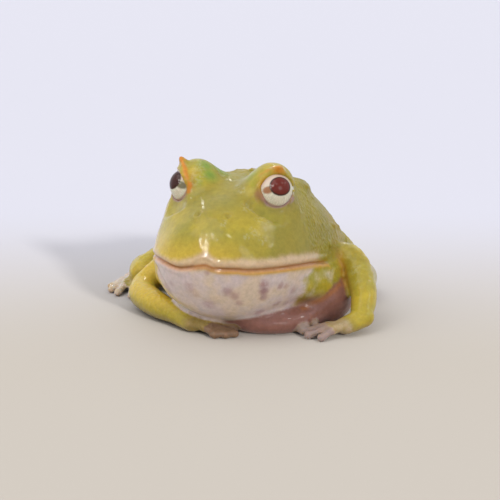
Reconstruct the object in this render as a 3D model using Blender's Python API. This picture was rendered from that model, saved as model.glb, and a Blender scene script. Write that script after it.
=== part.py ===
"""A still model of a young albino horned frog, sitting with its chin just off the ground.

The frog faces -Y, +X is its left and +Z is up. The origin is on its middle plane, in the
middle of the flat of the belly. Sizes are in millimetres, and MM turns them into metres.
"""

import math
import random

import bmesh
import bpy
from mathutils import Matrix, Vector

MM = 0.001
GAP = 0.3
FLOOR_DEPTH = 10.0
WIDE = 120.0

# Driving sizes of the frog
LENGTH = 78.0
HEAD_HALF_WIDTH = 20.5
BELLY_HALF_WIDTH = 22.4
CROWN_HEIGHT = 35.5
BACK_HEIGHT = 35.1
SNOUT_Y = -38.4
LIP_HEIGHT = 17.6
EYE_RADIUS = 4.3
BELLY_SINK = 1.1

# The trunk is bent to the right behind the head, by this angle and over this stretch
BEND = 10.0
BEND_FROM = -8.0
BEND_TO = 8.0

# The eyes and their domes, for the left side of the head
EYE_AT = (10.8, -20.8, 33.1)
DOME_AT = (9.3, -18.9, 33.2)
DOME_RADII = (5.6, 6.4, 6.4)
DOME_FOOT_AT = (7.7, -18.2, 31.4)
DOME_FOOT_RADII = (5.6, 7.2, 6.4)
EYE_SEAT_AT = (12.4, -19.6, 26.6)
EYE_SEAT_RADII = (4.8, 6.0, 5.0)
GAZE = 38.0
GAZE_RISE = 20.0
OPENING_RADII = (4.6, 4.1, 3.4)
OPENING_OUT = 4.4
OPENING_FORWARD = 0.5
RIM_OUT = 1.7
RIM_THICK = 0.7
LID_SEAT = (9.3, -18.9, 33.0)
LID_TILT = (0.5, -0.1, 1.0)
LID_REACH = 9.6
LID_HEIGHT = 30.0

# Other places on the head, for its left side
HORN_ROOT = (11.4, -20.0, 38.0)
HORN_TIP = (12.6, -21.8, 40.1)
HORN_THICK = (1.35, 0.85, 0.35)
NOSTRIL_AT = (3.5, -32.4, 28.5)
NOSTRIL_RADII = (0.9, 0.45, 1.4)
NOSTRIL_MOUND_AT = (3.5, -32.2, 28.2)
NOSTRIL_MOUND_RADII = (2.0, 1.8, 1.6)
EAR_AT = (18.5, -11.0, 21.6)
EAR_RADII = (1.8, 2.4, 1.0)
EAR_FACES = (1.0, 0.12, 0.42)
MOUTH_CORNER_Y = -11.0
MOUTH_FALL = 2.6
MOUTH_NOTCH = 0.9
MOUTH_DROOP = 0.35
LIP_THICK = 1.1
NECK_Y = -7.6
NECK_TILT = 0.16

# The soft chest between the hands, and the fold of skin inside the left arm
CHEST_AT = (8.0, -12.8, 2.8)
CHEST_RADII = (13.5, 16.0, 4.6)
ARMPIT_AT = (16.6, -6.8, 5.2)
ARMPIT_RADII = (9.2, 9.6, 6.8)

# Swellings under the skin of the head: x, y, z, half thickness sideways and upwards
SWELLINGS = {
    "brow": [(9.8, -14.0, 32.2, 3.6, 2.8), (10.2, -8.0, 32.0, 3.8, 2.6), (9.6, -1.0, 30.6, 3.8, 2.6)],
    "jaw_muscle": [
        (17.4, -20.0, 12.0, 2.8, 3.8), (18.2, -16.0, 10.8, 3.1, 4.2), (19.3, -11.0, 10.8, 3.3, 4.3),
        (19.6, -5.0, 11.2, 3.4, 4.4),
    ],
}

# Fineness of the blended skin, and the triangles that each part keeps
TRUNK_VOXEL = 0.8
LIMB_VOXEL = 0.6
DIGIT_VOXEL = 0.42
TRUNK_TRIANGLES = 4700
LIMB_TRIANGLES = 250
HAND_TRIANGLES = 540
FOOT_TRIANGLES = 720

# Warts on the back and the flanks
WART_COUNT = 64
WART_SEED = 11
WART_SIZES = (0.8, 1.5)
WART_STRETCH = (-4.0, 36.0)
WART_ANGLES = (8.0, 172.0)
WART_SINK = 0.3

# Half thicknesses of the hands and feet
PALM = [(2.5, 2.4), (2.5, 2.3), (2.8, 2.1), (3.0, 1.8)]
SOLE = [(2.7, 2.7), (2.5, 2.5), (2.6, 2.3), (3.1, 1.8)]
FINGER_THICK = 1.12
TOE_THICK = 1.15
DIGIT_TIP_HEIGHT = 0.9
WEB_MIDDLE = 1.0
WEB_THICK = 0.5
WEB_REACH = 0.62
SPADE_RADII = (1.5, 2.5, 1.3)

# Colour and roughness of each material, and the first word of the nodes that aren't plain skin
COLOURS = {
    "skin": ((0.50, 0.42, 0.07), 0.28),
    "belly": ((0.78, 0.68, 0.62), 0.32),
    "horn": ((0.80, 0.36, 0.08), 0.30),
    "eye": ((0.62, 0.60, 0.52), 0.06),
    "digits": ((0.66, 0.52, 0.30), 0.28),
}
COLOUR_OF = {"eye": "eye", "lower": "belly", "horn": "horn", "hand": "digits", "foot": "digits"}
ON_THE_FLOOR = ("torso", "lower_jaw", "forearm", "hand", "thigh", "shank", "foot")

# Stations of the body, from the snout to the vent. Each gives its place along the body, the
# half width at its widest, the height of that width, the top, the bottom, and how square the
# outline is above and below.
BODY_STATIONS = [
    (SNOUT_Y, 0.0, LIP_HEIGHT, LIP_HEIGHT, LIP_HEIGHT, 2.2, 2.0),
    (-38.0, 4.4, 17.6, 21.6, 14.4, 2.2, 2.0),
    (-36.6, 9.0, 17.4, 25.6, 10.4, 2.1, 2.0),
    (-33.6, 12.9, 17.0, 28.9, 6.4, 2.1, 2.0),
    (-29.0, 16.3, 16.6, 31.3, 3.6, 2.2, 2.0),
    (-23.5, 18.6, 16.0, 33.1, 2.0, 2.35, 2.0),
    (-17.0, 20.0, 15.2, 34.7, 1.0, 2.4, 2.0),
    (-10.0, HEAD_HALF_WIDTH, 14.4, CROWN_HEIGHT, 0.0, 2.3, 2.1),
    (-3.0, 21.0, 12.6, BACK_HEIGHT, -BELLY_SINK, 2.0, 2.8),
    (5.0, 22.0, 9.9, 34.1, -BELLY_SINK, 1.74, 3.1),
    (13.0, BELLY_HALF_WIDTH, 9.0, 31.6, -BELLY_SINK, 1.66, 3.0),
    (21.0, 20.8, 8.7, 27.5, -BELLY_SINK, 1.7, 2.8),
    (28.5, 17.0, 8.6, 21.3, -0.6, 1.85, 2.4),
    (34.5, 11.6, 8.6, 15.8, 1.8, 2.0, 2.1),
    (38.4, 5.6, 8.8, 12.0, 5.4, 2.0, 2.0),
    (SNOUT_Y + LENGTH, 0.0, 9.0, 9.0, 9.0, 2.0, 2.0),
]

# Limbs are rows of stops: x, y, z, half thickness sideways and half thickness upwards
LEFT_ARM = {
    "upper_arm": [
        (14.0, -1.0, 13.0, 5.0, 5.4),
        (18.6, -1.6, 14.2, 4.1, 4.3),
        (23.6, -2.4, 14.4, 3.5, 3.5),
        (25.8, -3.4, 12.8, 3.3, 3.3),
    ],
    "forearm": [
        (25.4, -2.9, 13.2, 3.2, 3.2),
        (27.6, -6.0, 10.4, 3.3, 3.3),
        (29.6, -10.6, 7.0, 3.1, 3.1),
        (30.2, -15.0, 4.0, 2.6, 2.5),
    ],
    "wrist": (30.0, -16.4, 3.2),
    "palm": (27.4, -19.6, 2.1),
    "fingers": [(243.0, 7.6), (220.0, 9.0), (198.0, 9.6), (174.0, 7.8)],
}
RIGHT_ARM = {
    "upper_arm": [
        (-14.0, -1.5, 12.5, 5.0, 5.4),
        (-19.6, -3.6, 11.2, 4.1, 4.4),
        (-25.4, -6.6, 7.6, 3.6, 3.6),
        (-28.0, -9.4, 4.8, 3.4, 3.4),
    ],
    "forearm": [
        (-27.8, -8.8, 5.0, 3.3, 3.3),
        (-26.0, -14.4, 4.1, 3.5, 3.4),
        (-19.4, -20.8, 3.6, 3.3, 3.1),
        (-11.6, -25.6, 2.9, 2.6, 2.4),
    ],
    "wrist": (-10.4, -26.4, 2.6),
    "palm": (-6.0, -28.6, 1.9),
    "fingers": [(-31.0, 7.4), (-19.0, 9.2), (-8.0, 10.4), (5.0, 8.8)],
}
RIGHT_LEG = {
    "thigh": [
        (-12.0, 27.0, 12.0, 6.0, 6.6),
        (-19.0, 21.0, 11.0, 6.4, 6.8),
        (-27.4, 12.0, 8.0, 5.6, 6.0),
        (-33.0, 5.6, 5.6, 4.4, 4.4),
    ],
    "shank": [
        (-33.6, 3.6, 4.8, 4.0, 4.0),
        (-35.6, 8.6, 4.7, 4.2, 4.2),
        (-33.6, 16.8, 4.7, 4.3, 4.2),
        (-28.4, 25.6, 4.0, 3.0, 3.3),
    ],
    "heel": (-28.2, 27.2, 3.2),
    "ankle": (-36.4, 18.8, 2.5),
    "ball": (-39.6, 9.0, 1.9),
    "toes": [(-116.0, 7.6), (-100.0, 10.0), (-84.0, 12.6), (-67.0, 15.6), (-48.0, 11.0)],
}
LEFT_LEG = {
    "thigh": [
        (5.0, 27.5, 11.0, 6.0, 6.4),
        (10.8, 22.4, 10.4, 6.2, 6.6),
        (16.6, 15.0, 8.6, 5.6, 6.0),
        (20.4, 8.6, 7.4, 4.4, 4.6),
    ],
    "shank": [
        (20.8, 6.8, 6.6, 3.8, 4.2),
        (22.4, 11.0, 5.6, 4.0, 4.3),
        (20.8, 19.2, 5.0, 4.1, 4.2),
        (16.2, 27.6, 4.2, 3.0, 3.4),
    ],
    "heel": (16.0, 29.2, 3.4),
    "ankle": (20.6, 24.4, 2.6),
    "ball": (22.4, 17.6, 1.9),
    "toes": [(-52.0, 5.4), (-63.0, 7.6), (-74.0, 10.0), (-85.0, 11.6), (-98.0, 9.2)],
}


def clear_scene():
    """Leaves an empty scene to build in."""
    for found in list(bpy.data.objects):
        bpy.data.objects.remove(found)


def material(name):
    """The Principled material of one colour."""
    made = bpy.data.materials.get(name)
    if made is None:
        colour, roughness = COLOURS[name]
        made = bpy.data.materials.new(name)
        made.use_nodes = True
        shader = made.node_tree.nodes["Principled BSDF"]
        shader.inputs["Base Color"].default_value = (*colour, 1.0)
        shader.inputs["Roughness"].default_value = roughness
        shader.inputs["Metallic"].default_value = 0.0
    return made


def mesh_object(name, points, faces):
    """A mesh object of points in millimetres."""
    mesh = bpy.data.meshes.new(name)
    mesh.from_pydata([Vector(p) * MM for p in points], [], faces)
    obj = bpy.data.objects.new(name, mesh)
    bpy.context.scene.collection.objects.link(obj)
    return obj


def smooth_line(stops, steps):
    """A Catmull-Rom curve through rows of numbers, with some steps to each span."""
    rows = []
    last = len(stops) - 1
    for i in range(last):
        before, here = stops[max(i - 1, 0)], stops[i]
        there, after = stops[i + 1], stops[min(i + 2, last)]
        for k in range(steps):
            t = k / steps
            rows.append(
                tuple(
                    b + 0.5 * t * (c - a + t * (2 * a - 5 * b + 4 * c - d + t * (3 * (b - c) + d - a)))
                    for a, b, c, d in zip(before, here, there, after)
                )
            )
    rows.append(tuple(stops[-1]))
    return rows


def skin_rings(name, rings, start, end):
    """A closed surface over equal rings of points, closed to a point at each end."""
    sides = len(rings[0])
    points = [p for ring in rings for p in ring] + [start, end]
    first, last = len(points) - 2, len(points) - 1
    faces = []
    for r in range(len(rings) - 1):
        for s in range(sides):
            a, b = r * sides + s, r * sides + (s + 1) % sides
            faces.append((a, b, b + sides, a + sides))
    tail = (len(rings) - 1) * sides
    for s in range(sides):
        faces.append((first, (s + 1) % sides, s))
        faces.append((last, tail + s, tail + (s + 1) % sides))
    obj = mesh_object(name, points, faces)
    face_outwards(obj)
    return obj


def face_outwards(obj):
    """Turns every face of a closed mesh outwards."""
    work = bmesh.new()
    work.from_mesh(obj.data)
    bmesh.ops.recalc_face_normals(work, faces=work.faces)
    work.to_mesh(obj.data)
    work.free()


def oval_ring(centre, aim, wide, high, sides):
    """An oval of points across a direction, its height as upright as it can be."""
    side = aim.cross(Vector((0, 0, 1)))
    if side.length < 0.2:
        side = Vector((1, 0, 0))
    side.normalize()
    rise = side.cross(aim)
    ring = []
    for s in range(sides):
        angle = 2 * math.pi * s / sides
        ring.append(centre + side * math.cos(angle) * wide + rise * math.sin(angle) * high)
    return ring


def tube(name, stops, sides=14, steps=4):
    """A limb: an oval tube along a smooth line, with round ends."""
    line = smooth_line(stops, steps)
    centres = [Vector(row[:3]) for row in line]
    last = len(line) - 1
    aims = []
    for i in range(last + 1):
        aim = centres[min(i + 1, last)] - centres[max(i - 1, 0)]
        aims.append(aim.normalized())
    turns = [math.radians(turn) for turn in (20, 42, 62, 80)]
    plan = [(0, -math.cos(turn), math.sin(turn)) for turn in turns]
    plan += [(i, 0.0, 1.0) for i in range(last + 1)]
    plan += [(last, math.cos(turn), math.sin(turn)) for turn in reversed(turns)]
    rings = []
    for i, along, scale in plan:
        wide, high = line[i][3], line[i][4]
        centre = centres[i] + aims[i] * along * min(wide, high)
        rings.append(oval_ring(centre, aims[i], wide * scale, high * scale, sides))
    start = centres[0] - aims[0] * min(line[0][3:5])
    end = centres[-1] + aims[-1] * min(line[-1][3:5])
    return skin_rings(name, rings, start, end)


def ellipsoid(name, centre, radii, turn=None, segments=28, rows=18):
    """A round lump with three radii."""
    work = bmesh.new()
    bmesh.ops.create_uvsphere(work, u_segments=segments, v_segments=rows, radius=1.0)
    obj = mesh_object(name, [], [])
    work.to_mesh(obj.data)
    work.free()
    place = Matrix.Translation(Vector(centre) * MM)
    if turn is not None:
        place = place @ turn.to_4x4()
    obj.data.transform(place @ Matrix.Diagonal((*(r * MM for r in radii), 1.0)))
    return obj


def mirrored(row, side):
    """A point or stop of the left side, or its twin on the right where side is -1."""
    return (row[0] * side, *row[1:])


def apply_modifiers(obj):
    """Makes the shape that the modifiers give the object's own."""
    graph = bpy.context.evaluated_depsgraph_get()
    made = bpy.data.meshes.new_from_object(obj.evaluated_get(graph))
    obj.modifiers.clear()
    obj.data = made


def boolean(obj, tool, operation):
    """Cuts, keeps or joins by another closed object, and leaves that object as it was."""
    change = obj.modifiers.new("join", "BOOLEAN")
    change.operation = operation
    change.solver = "EXACT"
    change.object = tool
    bpy.context.view_layer.update()
    apply_modifiers(obj)


def remove(*objects):
    """Takes helper objects out of the scene."""
    for obj in objects:
        bpy.data.objects.remove(obj)


def copy_of(obj, name):
    """A second object with a mesh of its own."""
    twin = obj.copy()
    twin.data = obj.data.copy()
    twin.name = name
    bpy.context.scene.collection.objects.link(twin)
    return twin


def fuse(name, pieces, voxel, rounds, triangles=None):
    """One closed skin over some overlapping pieces, with the creases between them softened."""
    work = bmesh.new()
    for piece in pieces:
        work.from_mesh(piece.data)
    obj = mesh_object(name, [], [])
    work.to_mesh(obj.data)
    work.free()
    remove(*pieces)
    blend = obj.modifiers.new("blend", "REMESH")
    blend.mode = "VOXEL"
    blend.voxel_size = voxel * MM
    soften = obj.modifiers.new("soften", "SMOOTH")
    soften.factor = 0.5
    soften.iterations = rounds
    apply_modifiers(obj)
    if triangles:
        thin(obj, triangles)
    return obj


def thin(obj, triangles):
    """Leaves about this many triangles, fewest where the skin is plain."""
    now = sum(len(p.vertices) - 2 for p in obj.data.polygons)
    fewer = obj.modifiers.new("fewer", "DECIMATE")
    fewer.ratio = min(1.0, triangles / now)
    fewer.use_collapse_triangulate = True
    apply_modifiers(obj)


def keep_largest(obj):
    """Keeps the largest closed surface of an object and drops loose scraps."""
    work = bmesh.new()
    work.from_mesh(obj.data)
    left = set(work.verts)
    shells = []
    while left:
        shell, edge = set(), [left.pop()]
        while edge:
            vert = edge.pop()
            shell.add(vert)
            for link in vert.link_edges:
                other = link.other_vert(vert)
                if other in left:
                    left.discard(other)
                    edge.append(other)
        shells.append(shell)
    shells.sort(key=len)
    for shell in shells[:-1]:
        bmesh.ops.delete(work, geom=list(shell), context="VERTS")
    work.to_mesh(obj.data)
    work.free()


def swollen(obj, by):
    """A copy of a closed object, its skin moved outwards."""
    twin = copy_of(obj, "swollen")
    grow = twin.modifiers.new("grow", "DISPLACE")
    grow.strength = by * MM
    grow.mid_level = 0.0
    grow.direction = "NORMAL"
    bpy.context.view_layer.update()
    apply_modifiers(twin)
    return twin


def trim(obj, *others):
    """Cuts an object clear of its neighbours, with the gap that touching pieces keep."""
    for other in others:
        tool = swollen(other, GAP)
        boolean(obj, tool, "DIFFERENCE")
        remove(tool)
    keep_largest(obj)


def block(name, at, aim, length, half):
    """A box that starts at a point and runs along a direction."""
    work = bmesh.new()
    bmesh.ops.create_cube(work, size=1.0)
    obj = mesh_object(name, [], [])
    work.to_mesh(obj.data)
    work.free()
    turn = Vector(aim).to_track_quat("Z", "Y").to_matrix().to_4x4()
    shift = Matrix.Translation(Vector((0, 0, length / 2)) * MM)
    size = Matrix.Diagonal((2 * half * MM, 2 * half * MM, length * MM, 1.0))
    obj.data.transform(Matrix.Translation(Vector(at) * MM) @ turn @ shift @ size)
    return obj


def split(obj, at, aim, front_name, length=WIDE, half=WIDE):
    """Parts an object by a thin flat cut. What lies along aim becomes a new object."""
    aim = Vector(aim).normalized()
    front = copy_of(obj, front_name)
    ahead = block("ahead", Vector(at) + aim * GAP / 2, aim, length, half)
    behind = block("behind", Vector(at) - aim * GAP / 2, aim, length, half)
    boolean(front, ahead, "INTERSECT")
    boolean(obj, behind, "DIFFERENCE")
    remove(ahead, behind)
    keep_largest(front)
    keep_largest(obj)
    return front


def flatten_feet(obj):
    """Cuts off what lies under the floor, which leaves a small flat to rest on."""
    ground = block("ground", (0, 0, 0), (0, 0, -1), FLOOR_DEPTH, WIDE)
    boolean(obj, ground, "DIFFERENCE")
    remove(ground)
    keep_largest(obj)


def body_point(row, angle):
    """A point of a body station's outline, at an angle counted from its left side."""
    y, half, middle, top, bottom, square_up, square_down = row
    c, s = math.cos(angle), math.sin(angle)
    square = square_up if s >= 0 else square_down
    reach = top - middle if s >= 0 else middle - bottom
    x = half * math.copysign(abs(c) ** (2 / square), c)
    z = middle + reach * math.copysign(abs(s) ** (2 / square), s)
    return (x, y, z)


def bend_at(y):
    """How far the middle of the trunk has moved sideways at a place along the body."""
    slope = math.tan(math.radians(BEND))
    stretch = BEND_TO - BEND_FROM
    inside = min(max(y - BEND_FROM, 0.0), stretch)
    beyond = max(y - BEND_TO, 0.0)
    return -slope * (inside * inside / (2 * stretch) + beyond)


def body(sides=56, steps=5):
    """The body from the snout to the vent, without its limbs."""
    rings = []
    for row in smooth_line(BODY_STATIONS, steps)[1:-1]:
        ring = [body_point(row, 2 * math.pi * s / sides) for s in range(sides)]
        rings.append([(x + bend_at(y), y, z) for x, y, z in ring])
    tips = []
    for row in (BODY_STATIONS[0], BODY_STATIONS[-1]):
        tips.append((bend_at(row[0]), row[0], row[2]))
    return skin_rings("body", rings, *tips)


def mouth_height(x, y):
    """The height of the mouth's line: a small notch in front, and a fall towards the corners."""
    back = min(max((y - SNOUT_Y) / (MOUTH_CORNER_Y - SNOUT_Y), 0.0), 1.0)
    notch = MOUTH_NOTCH * math.exp(-((x / 1.9) ** 2))
    droop = MOUTH_DROOP * math.exp(-(((abs(x) - 6.0) / 2.5) ** 2))
    return LIP_HEIGHT - MOUTH_FALL * back * back + notch - droop


def mouth_outline(steps=15):
    """Points along the mouth from its right corner to its left, on the face of the lips."""
    edge = []
    for row in smooth_line(BODY_STATIONS, 8):
        if row[0] <= MOUTH_CORNER_Y:
            edge.append((row[1], row[0]))
    left = [edge[round(k * (len(edge) - 1) / steps)] for k in range(steps + 1)]
    right = [(-x, y) for x, y in reversed(left)]
    return right[:-1] + left


def lip(name, rise):
    """A soft rim that follows the mouth, over its line or under it, thin at the corners."""
    stops = []
    line = mouth_outline()
    for i, (x, y) in enumerate(line):
        from_end = min(i, len(line) - 1 - i) / len(line)
        thick = LIP_THICK * min(1.0, 0.35 + 2.6 * from_end)
        inward = Vector((x, y + 24.0)).normalized() * 0.62 * LIP_THICK
        stops.append((x - inward.x, y - inward.y, mouth_height(x, y) + rise, thick, thick))
    return tube(name, stops, sides=10, steps=2)


def mouth_block(name, upwards):
    """All that lies over the mouth's line, or under it, as a block with that curved face."""
    across, along = 25, 22
    half, front, depth = 32.0, -45.0, 42.0
    far = 60.0 if upwards else -20.0
    shift = GAP / 2 if upwards else -GAP / 2
    near_face, far_face = [], []
    for j in range(along + 1):
        y = front + depth * j / along
        for i in range(across + 1):
            x = -half + 2 * half * i / across
            near_face.append((x, y, mouth_height(x, y) + shift))
            far_face.append((x, y, far))
    wide = across + 1
    size = len(near_face)
    faces = []
    for j in range(along):
        for i in range(across):
            a = j * wide + i
            faces.append((a, a + 1, a + 1 + wide, a + wide))
            faces.append((size + a, size + a + wide, size + a + 1 + wide, size + a + 1))
    rim = list(range(wide))
    rim += [j * wide + across for j in range(1, along + 1)]
    rim += [along * wide + i for i in range(across - 1, -1, -1)]
    rim += [j * wide for j in range(along - 1, 0, -1)]
    for a, b in zip(rim, rim[1:] + rim[:1]):
        faces.append((b, a, size + a, size + b))
    obj = mesh_object(name, near_face + far_face, faces)
    face_outwards(obj)
    return obj


def gaze_frame(side):
    """The directions of an eye: across it, up it, and out along its gaze."""
    turn, rise = math.radians(GAZE), math.radians(GAZE_RISE)
    level = math.cos(rise)
    out = Vector((side * math.sin(turn) * level, -math.cos(turn) * level, math.sin(rise)))
    across = Vector((0, 0, 1)).cross(out).normalized()
    return across, out.cross(across), out


def turned(frame):
    """The rotation that lays the axes of a lump along three directions."""
    return Matrix(frame).transposed()


def opening_middle(side, out):
    """The middle of the lids' opening, moved out along the gaze and a little to the front."""
    frame = gaze_frame(side)
    return Vector(mirrored(EYE_AT, side)) + frame[2] * out - frame[0] * side * OPENING_FORWARD


def lid_rim(name, side):
    """The rolled edge of the lids round an eye."""
    across, rise, _ = gaze_frame(side)
    middle = opening_middle(side, RIM_OUT)
    ring = []
    for k in range(17):
        angle = 2 * math.pi * k / 16
        sweep = across * math.cos(angle) * OPENING_RADII[0] + rise * math.sin(angle) * OPENING_RADII[1]
        ring.append((*(middle + sweep), RIM_THICK, RIM_THICK))
    return tube(name, ring, sides=8, steps=2)


def warts():
    """Low warts scattered over the back and the flanks."""
    chance = random.Random(WART_SEED)
    rows = [row for row in smooth_line(BODY_STATIONS, 12) if WART_STRETCH[0] < row[0] < WART_STRETCH[1]]
    lumps = []
    for _ in range(WART_COUNT):
        row = chance.choice(rows)
        x, y, z = body_point(row, math.radians(chance.uniform(*WART_ANGLES)))
        size = chance.uniform(*WART_SIZES)
        inward = Vector((-x, 0, row[2] - z)).normalized() * size * WART_SINK
        at = Vector((x + bend_at(y), y, z)) + inward
        lumps.append(ellipsoid("wart", at, (size, size, size * 0.8), None, 12, 8))
    return lumps


def head_and_torso():
    """The trunk with the chest, the domes of the eyes, the lips and the warts, as one skin."""
    pieces = [body(), ellipsoid("chest", CHEST_AT, CHEST_RADII), ellipsoid("armpit", ARMPIT_AT, ARMPIT_RADII)]
    for side in (1, -1):
        pieces.append(ellipsoid("dome", mirrored(DOME_AT, side), DOME_RADII))
        pieces.append(ellipsoid("dome_foot", mirrored(DOME_FOOT_AT, side), DOME_FOOT_RADII))
        pieces.append(ellipsoid("eye_seat", mirrored(EYE_SEAT_AT, side), EYE_SEAT_RADII))
        pieces.append(ellipsoid("nostril_mound", mirrored(NOSTRIL_MOUND_AT, side), NOSTRIL_MOUND_RADII))
        for name, stops in SWELLINGS.items():
            pieces.append(tube(name, [mirrored(stop, side) for stop in stops]))
    trunk = fuse("trunk", pieces, TRUNK_VOXEL, 8)
    rims = []
    for side in (1, -1):
        middle = opening_middle(side, OPENING_OUT)
        opening = ellipsoid("opening", middle, OPENING_RADII, turned(gaze_frame(side)))
        boolean(trunk, opening, "DIFFERENCE")
        remove(opening)
        rims.append(lid_rim("rim", side))
    lips = [lip("upper_lip", LIP_THICK), lip("lower_lip", -LIP_THICK)]
    return fuse("torso", [trunk] + rims + lips + warts(), LIMB_VOXEL, 3, TRUNK_TRIANGLES)


def flat_aim(degrees):
    """A level direction, by its angle from +X."""
    return Vector((math.cos(math.radians(degrees)), math.sin(math.radians(degrees)), 0.0))


def digit(base, aim, length, thick):
    """One finger or toe, from inside the palm to its rounded tip on the ground."""
    stops = []
    for share, size in ((0.0, 1.15), (0.35, 1.0), (0.72, 0.84), (1.0, 0.92)):
        height = base.z + (DIGIT_TIP_HEIGHT - base.z) * min(1.0, share * 1.25)
        arch = 0.5 * math.sin(math.pi * share)
        at = base + aim * length * share
        stops.append((at.x, at.y, height + arch, thick * size, thick * size * 0.92))
    return tube("digit", stops, sides=10, steps=3)


def digits(middle, spread, thick, start):
    """A fan of fingers or toes, each by its angle and its length from the middle of the palm."""
    made = []
    for degrees, length in spread:
        aim = flat_aim(degrees)
        made.append(digit(middle + aim * start, aim, length - start, thick))
    return made


def web(base, tips):
    """The skin between toes: a thin fan with scalloped edges."""
    edge = [base]
    for a, b in zip(tips, tips[1:]):
        edge += [a, (a + b) / 2 * 0.72 + base * 0.28]
    edge.append(tips[-1])
    top = [(p.x, p.y, WEB_MIDDLE + WEB_THICK) for p in edge]
    low = [(p.x, p.y, WEB_MIDDLE - WEB_THICK) for p in edge]
    count = len(edge)
    faces = []
    for i in range(1, count - 1):
        faces.append((0, i, i + 1))
        faces.append((count, count + i + 1, count + i))
    for i in range(count):
        j = (i + 1) % count
        faces.append((j, i, count + i, count + j))
    obj = mesh_object("web", top + low, faces)
    face_outwards(obj)
    return obj


def hand(name, arm):
    """The hand with its four free fingers."""
    wrist, palm = Vector(arm["wrist"]), Vector(arm["palm"])
    before = wrist + (wrist - palm).normalized() * 1.6
    line = [before, wrist, (wrist + palm) / 2, palm]
    pieces = [tube("palm", [(*at, *size) for at, size in zip(line, PALM)])]
    pieces += digits(palm, arm["fingers"], FINGER_THICK, 0.6)
    return fuse(name, pieces, DIGIT_VOXEL, 3, HAND_TRIANGLES)


def foot(name, leg):
    """The foot from the heel to the toes, with the spade on its inner edge and its webs."""
    heel, ankle, ball = Vector(leg["heel"]), Vector(leg["ankle"]), Vector(leg["ball"])
    line = [heel, heel * 0.55 + ankle * 0.45, ankle, ball]
    pieces = [tube("sole", [(*at, *size) for at, size in zip(line, SOLE)])]
    pieces += digits(ball, leg["toes"], TOE_THICK, 0.8)
    pieces.append(web(ball, [ball + flat_aim(turn) * length * WEB_REACH for turn, length in leg["toes"]]))
    inner = -1 if ball.x > 0 else 1
    pieces.append(ellipsoid("spade", ball + Vector((inner * 3.0, 1.6, -0.6)), SPADE_RADII))
    return fuse(name, pieces, DIGIT_VOXEL, 3, FOOT_TRIANGLES)


def limb(name, stops):
    """One length of a limb."""
    return fuse(name, [tube("limb", stops, sides=18, steps=5)], LIMB_VOXEL, 3, LIMB_TRIANGLES)


def dress(obj, colour):
    """Gives a finished node its colour and smooth shading."""
    obj.data.materials.clear()
    obj.data.materials.append(material(colour))
    obj.data.shade_smooth()
    obj.data.set_sharp_from_angle(angle=math.radians(50))


def horn_cone(name, side):
    """The small fleshy horn on an upper lid."""
    root, tip = Vector(mirrored(HORN_ROOT, side)), Vector(mirrored(HORN_TIP, side))
    middle = root * 0.45 + tip * 0.55 + Vector((side * -0.2, 0.2, 0.0))
    stops = [(*at, thick, thick) for at, thick in zip((root, middle, tip), HORN_THICK)]
    return tube(name, stops, sides=8, steps=2)


def ear(name, head, side):
    """The round eardrum behind the corner of the mouth, sunk into the head."""
    out = Vector(mirrored(EAR_FACES, side)).normalized()
    along = Vector((0, 1, 0)).cross(out).normalized()
    turn = turned((along.cross(out), along, out))
    drum = ellipsoid(name, mirrored(EAR_AT, side), EAR_RADII, turn, 14, 8)
    trim(head, drum)
    return drum


def nostril(name, side):
    """The slit of a nostril, as the lump that is cut out of the head."""
    at = Vector(mirrored(NOSTRIL_AT, side))
    along = Vector((side * 0.8, 0.5, 0.3)).normalized()
    out = Vector((side * 0.2, -0.75, 0.62)).normalized()
    across = along.cross(out).normalized()
    turn = turned((along, across, along.cross(across)))
    return ellipsoid(name, at, NOSTRIL_RADII, turn, 12, 8)


def eye_nodes(head, side, end):
    """Parts the lid from the head round one eye, and adds the eye, the horn and the ear."""
    eye_at = mirrored(EYE_AT, side)
    socket = ellipsoid("socket", eye_at, [EYE_RADIUS + GAP] * 3, None, 20, 12)
    lid = split(
        head, mirrored(LID_SEAT, side), mirrored(LID_TILT, side), f"eyelid_{end}", LID_HEIGHT, LID_REACH
    )
    boolean(lid, socket, "DIFFERENCE")
    boolean(head, socket, "DIFFERENCE")
    remove(socket)
    eye = ellipsoid(f"eye_{end}", eye_at, [EYE_RADIUS] * 3, None, 20, 12)
    horn = horn_cone(f"horn_{end}", side)
    trim(horn, eye)
    trim(lid, horn)
    return [lid, eye, horn, ear(f"ear_{end}", head, side)]


def head_nodes(torso):
    """Parts the head and the lower jaw from the trunk, and the small parts from the head."""
    head = split(torso, (0, NECK_Y, 15.0), (0, -1, NECK_TILT), "head")
    jaw = copy_of(head, "lower_jaw")
    for part, upwards in ((head, True), (jaw, False)):
        half = mouth_block("half", upwards)
        boolean(part, half, "INTERSECT")
        remove(half)
        keep_largest(part)
    nodes = [head, jaw]
    for side, end in ((1, "l"), (-1, "r")):
        nodes += eye_nodes(head, side, end)
        pit = nostril("pit", side)
        boolean(head, pit, "DIFFERENCE")
        remove(pit)
    keep_largest(head)
    return nodes


def limb_nodes(torso, chain):
    """Cuts each length of a limb clear of the trunk and of the lengths before it."""
    for i, piece in enumerate(chain):
        trim(piece, torso, *chain[:i])
    return chain


def main():
    """Builds every node of the frog."""
    clear_scene()
    torso = head_and_torso()
    nodes = [torso]
    for end, arm, leg in (("l", LEFT_ARM, LEFT_LEG), ("r", RIGHT_ARM, RIGHT_LEG)):
        upper_arm = limb(f"upper_arm_{end}", arm["upper_arm"])
        forearm = limb(f"forearm_{end}", arm["forearm"])
        nodes += limb_nodes(torso, [upper_arm, forearm, hand(f"hand_{end}", arm)])
        thigh = limb(f"thigh_{end}", leg["thigh"])
        shank = limb(f"shank_{end}", leg["shank"])
        nodes += limb_nodes(torso, [thigh, shank, foot(f"foot_{end}", leg)])
    nodes += head_nodes(torso)
    for obj in nodes:
        if obj.name.startswith(ON_THE_FLOOR):
            flatten_feet(obj)
        dress(obj, COLOUR_OF.get(obj.name.split("_")[0], "skin"))


main()
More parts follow.
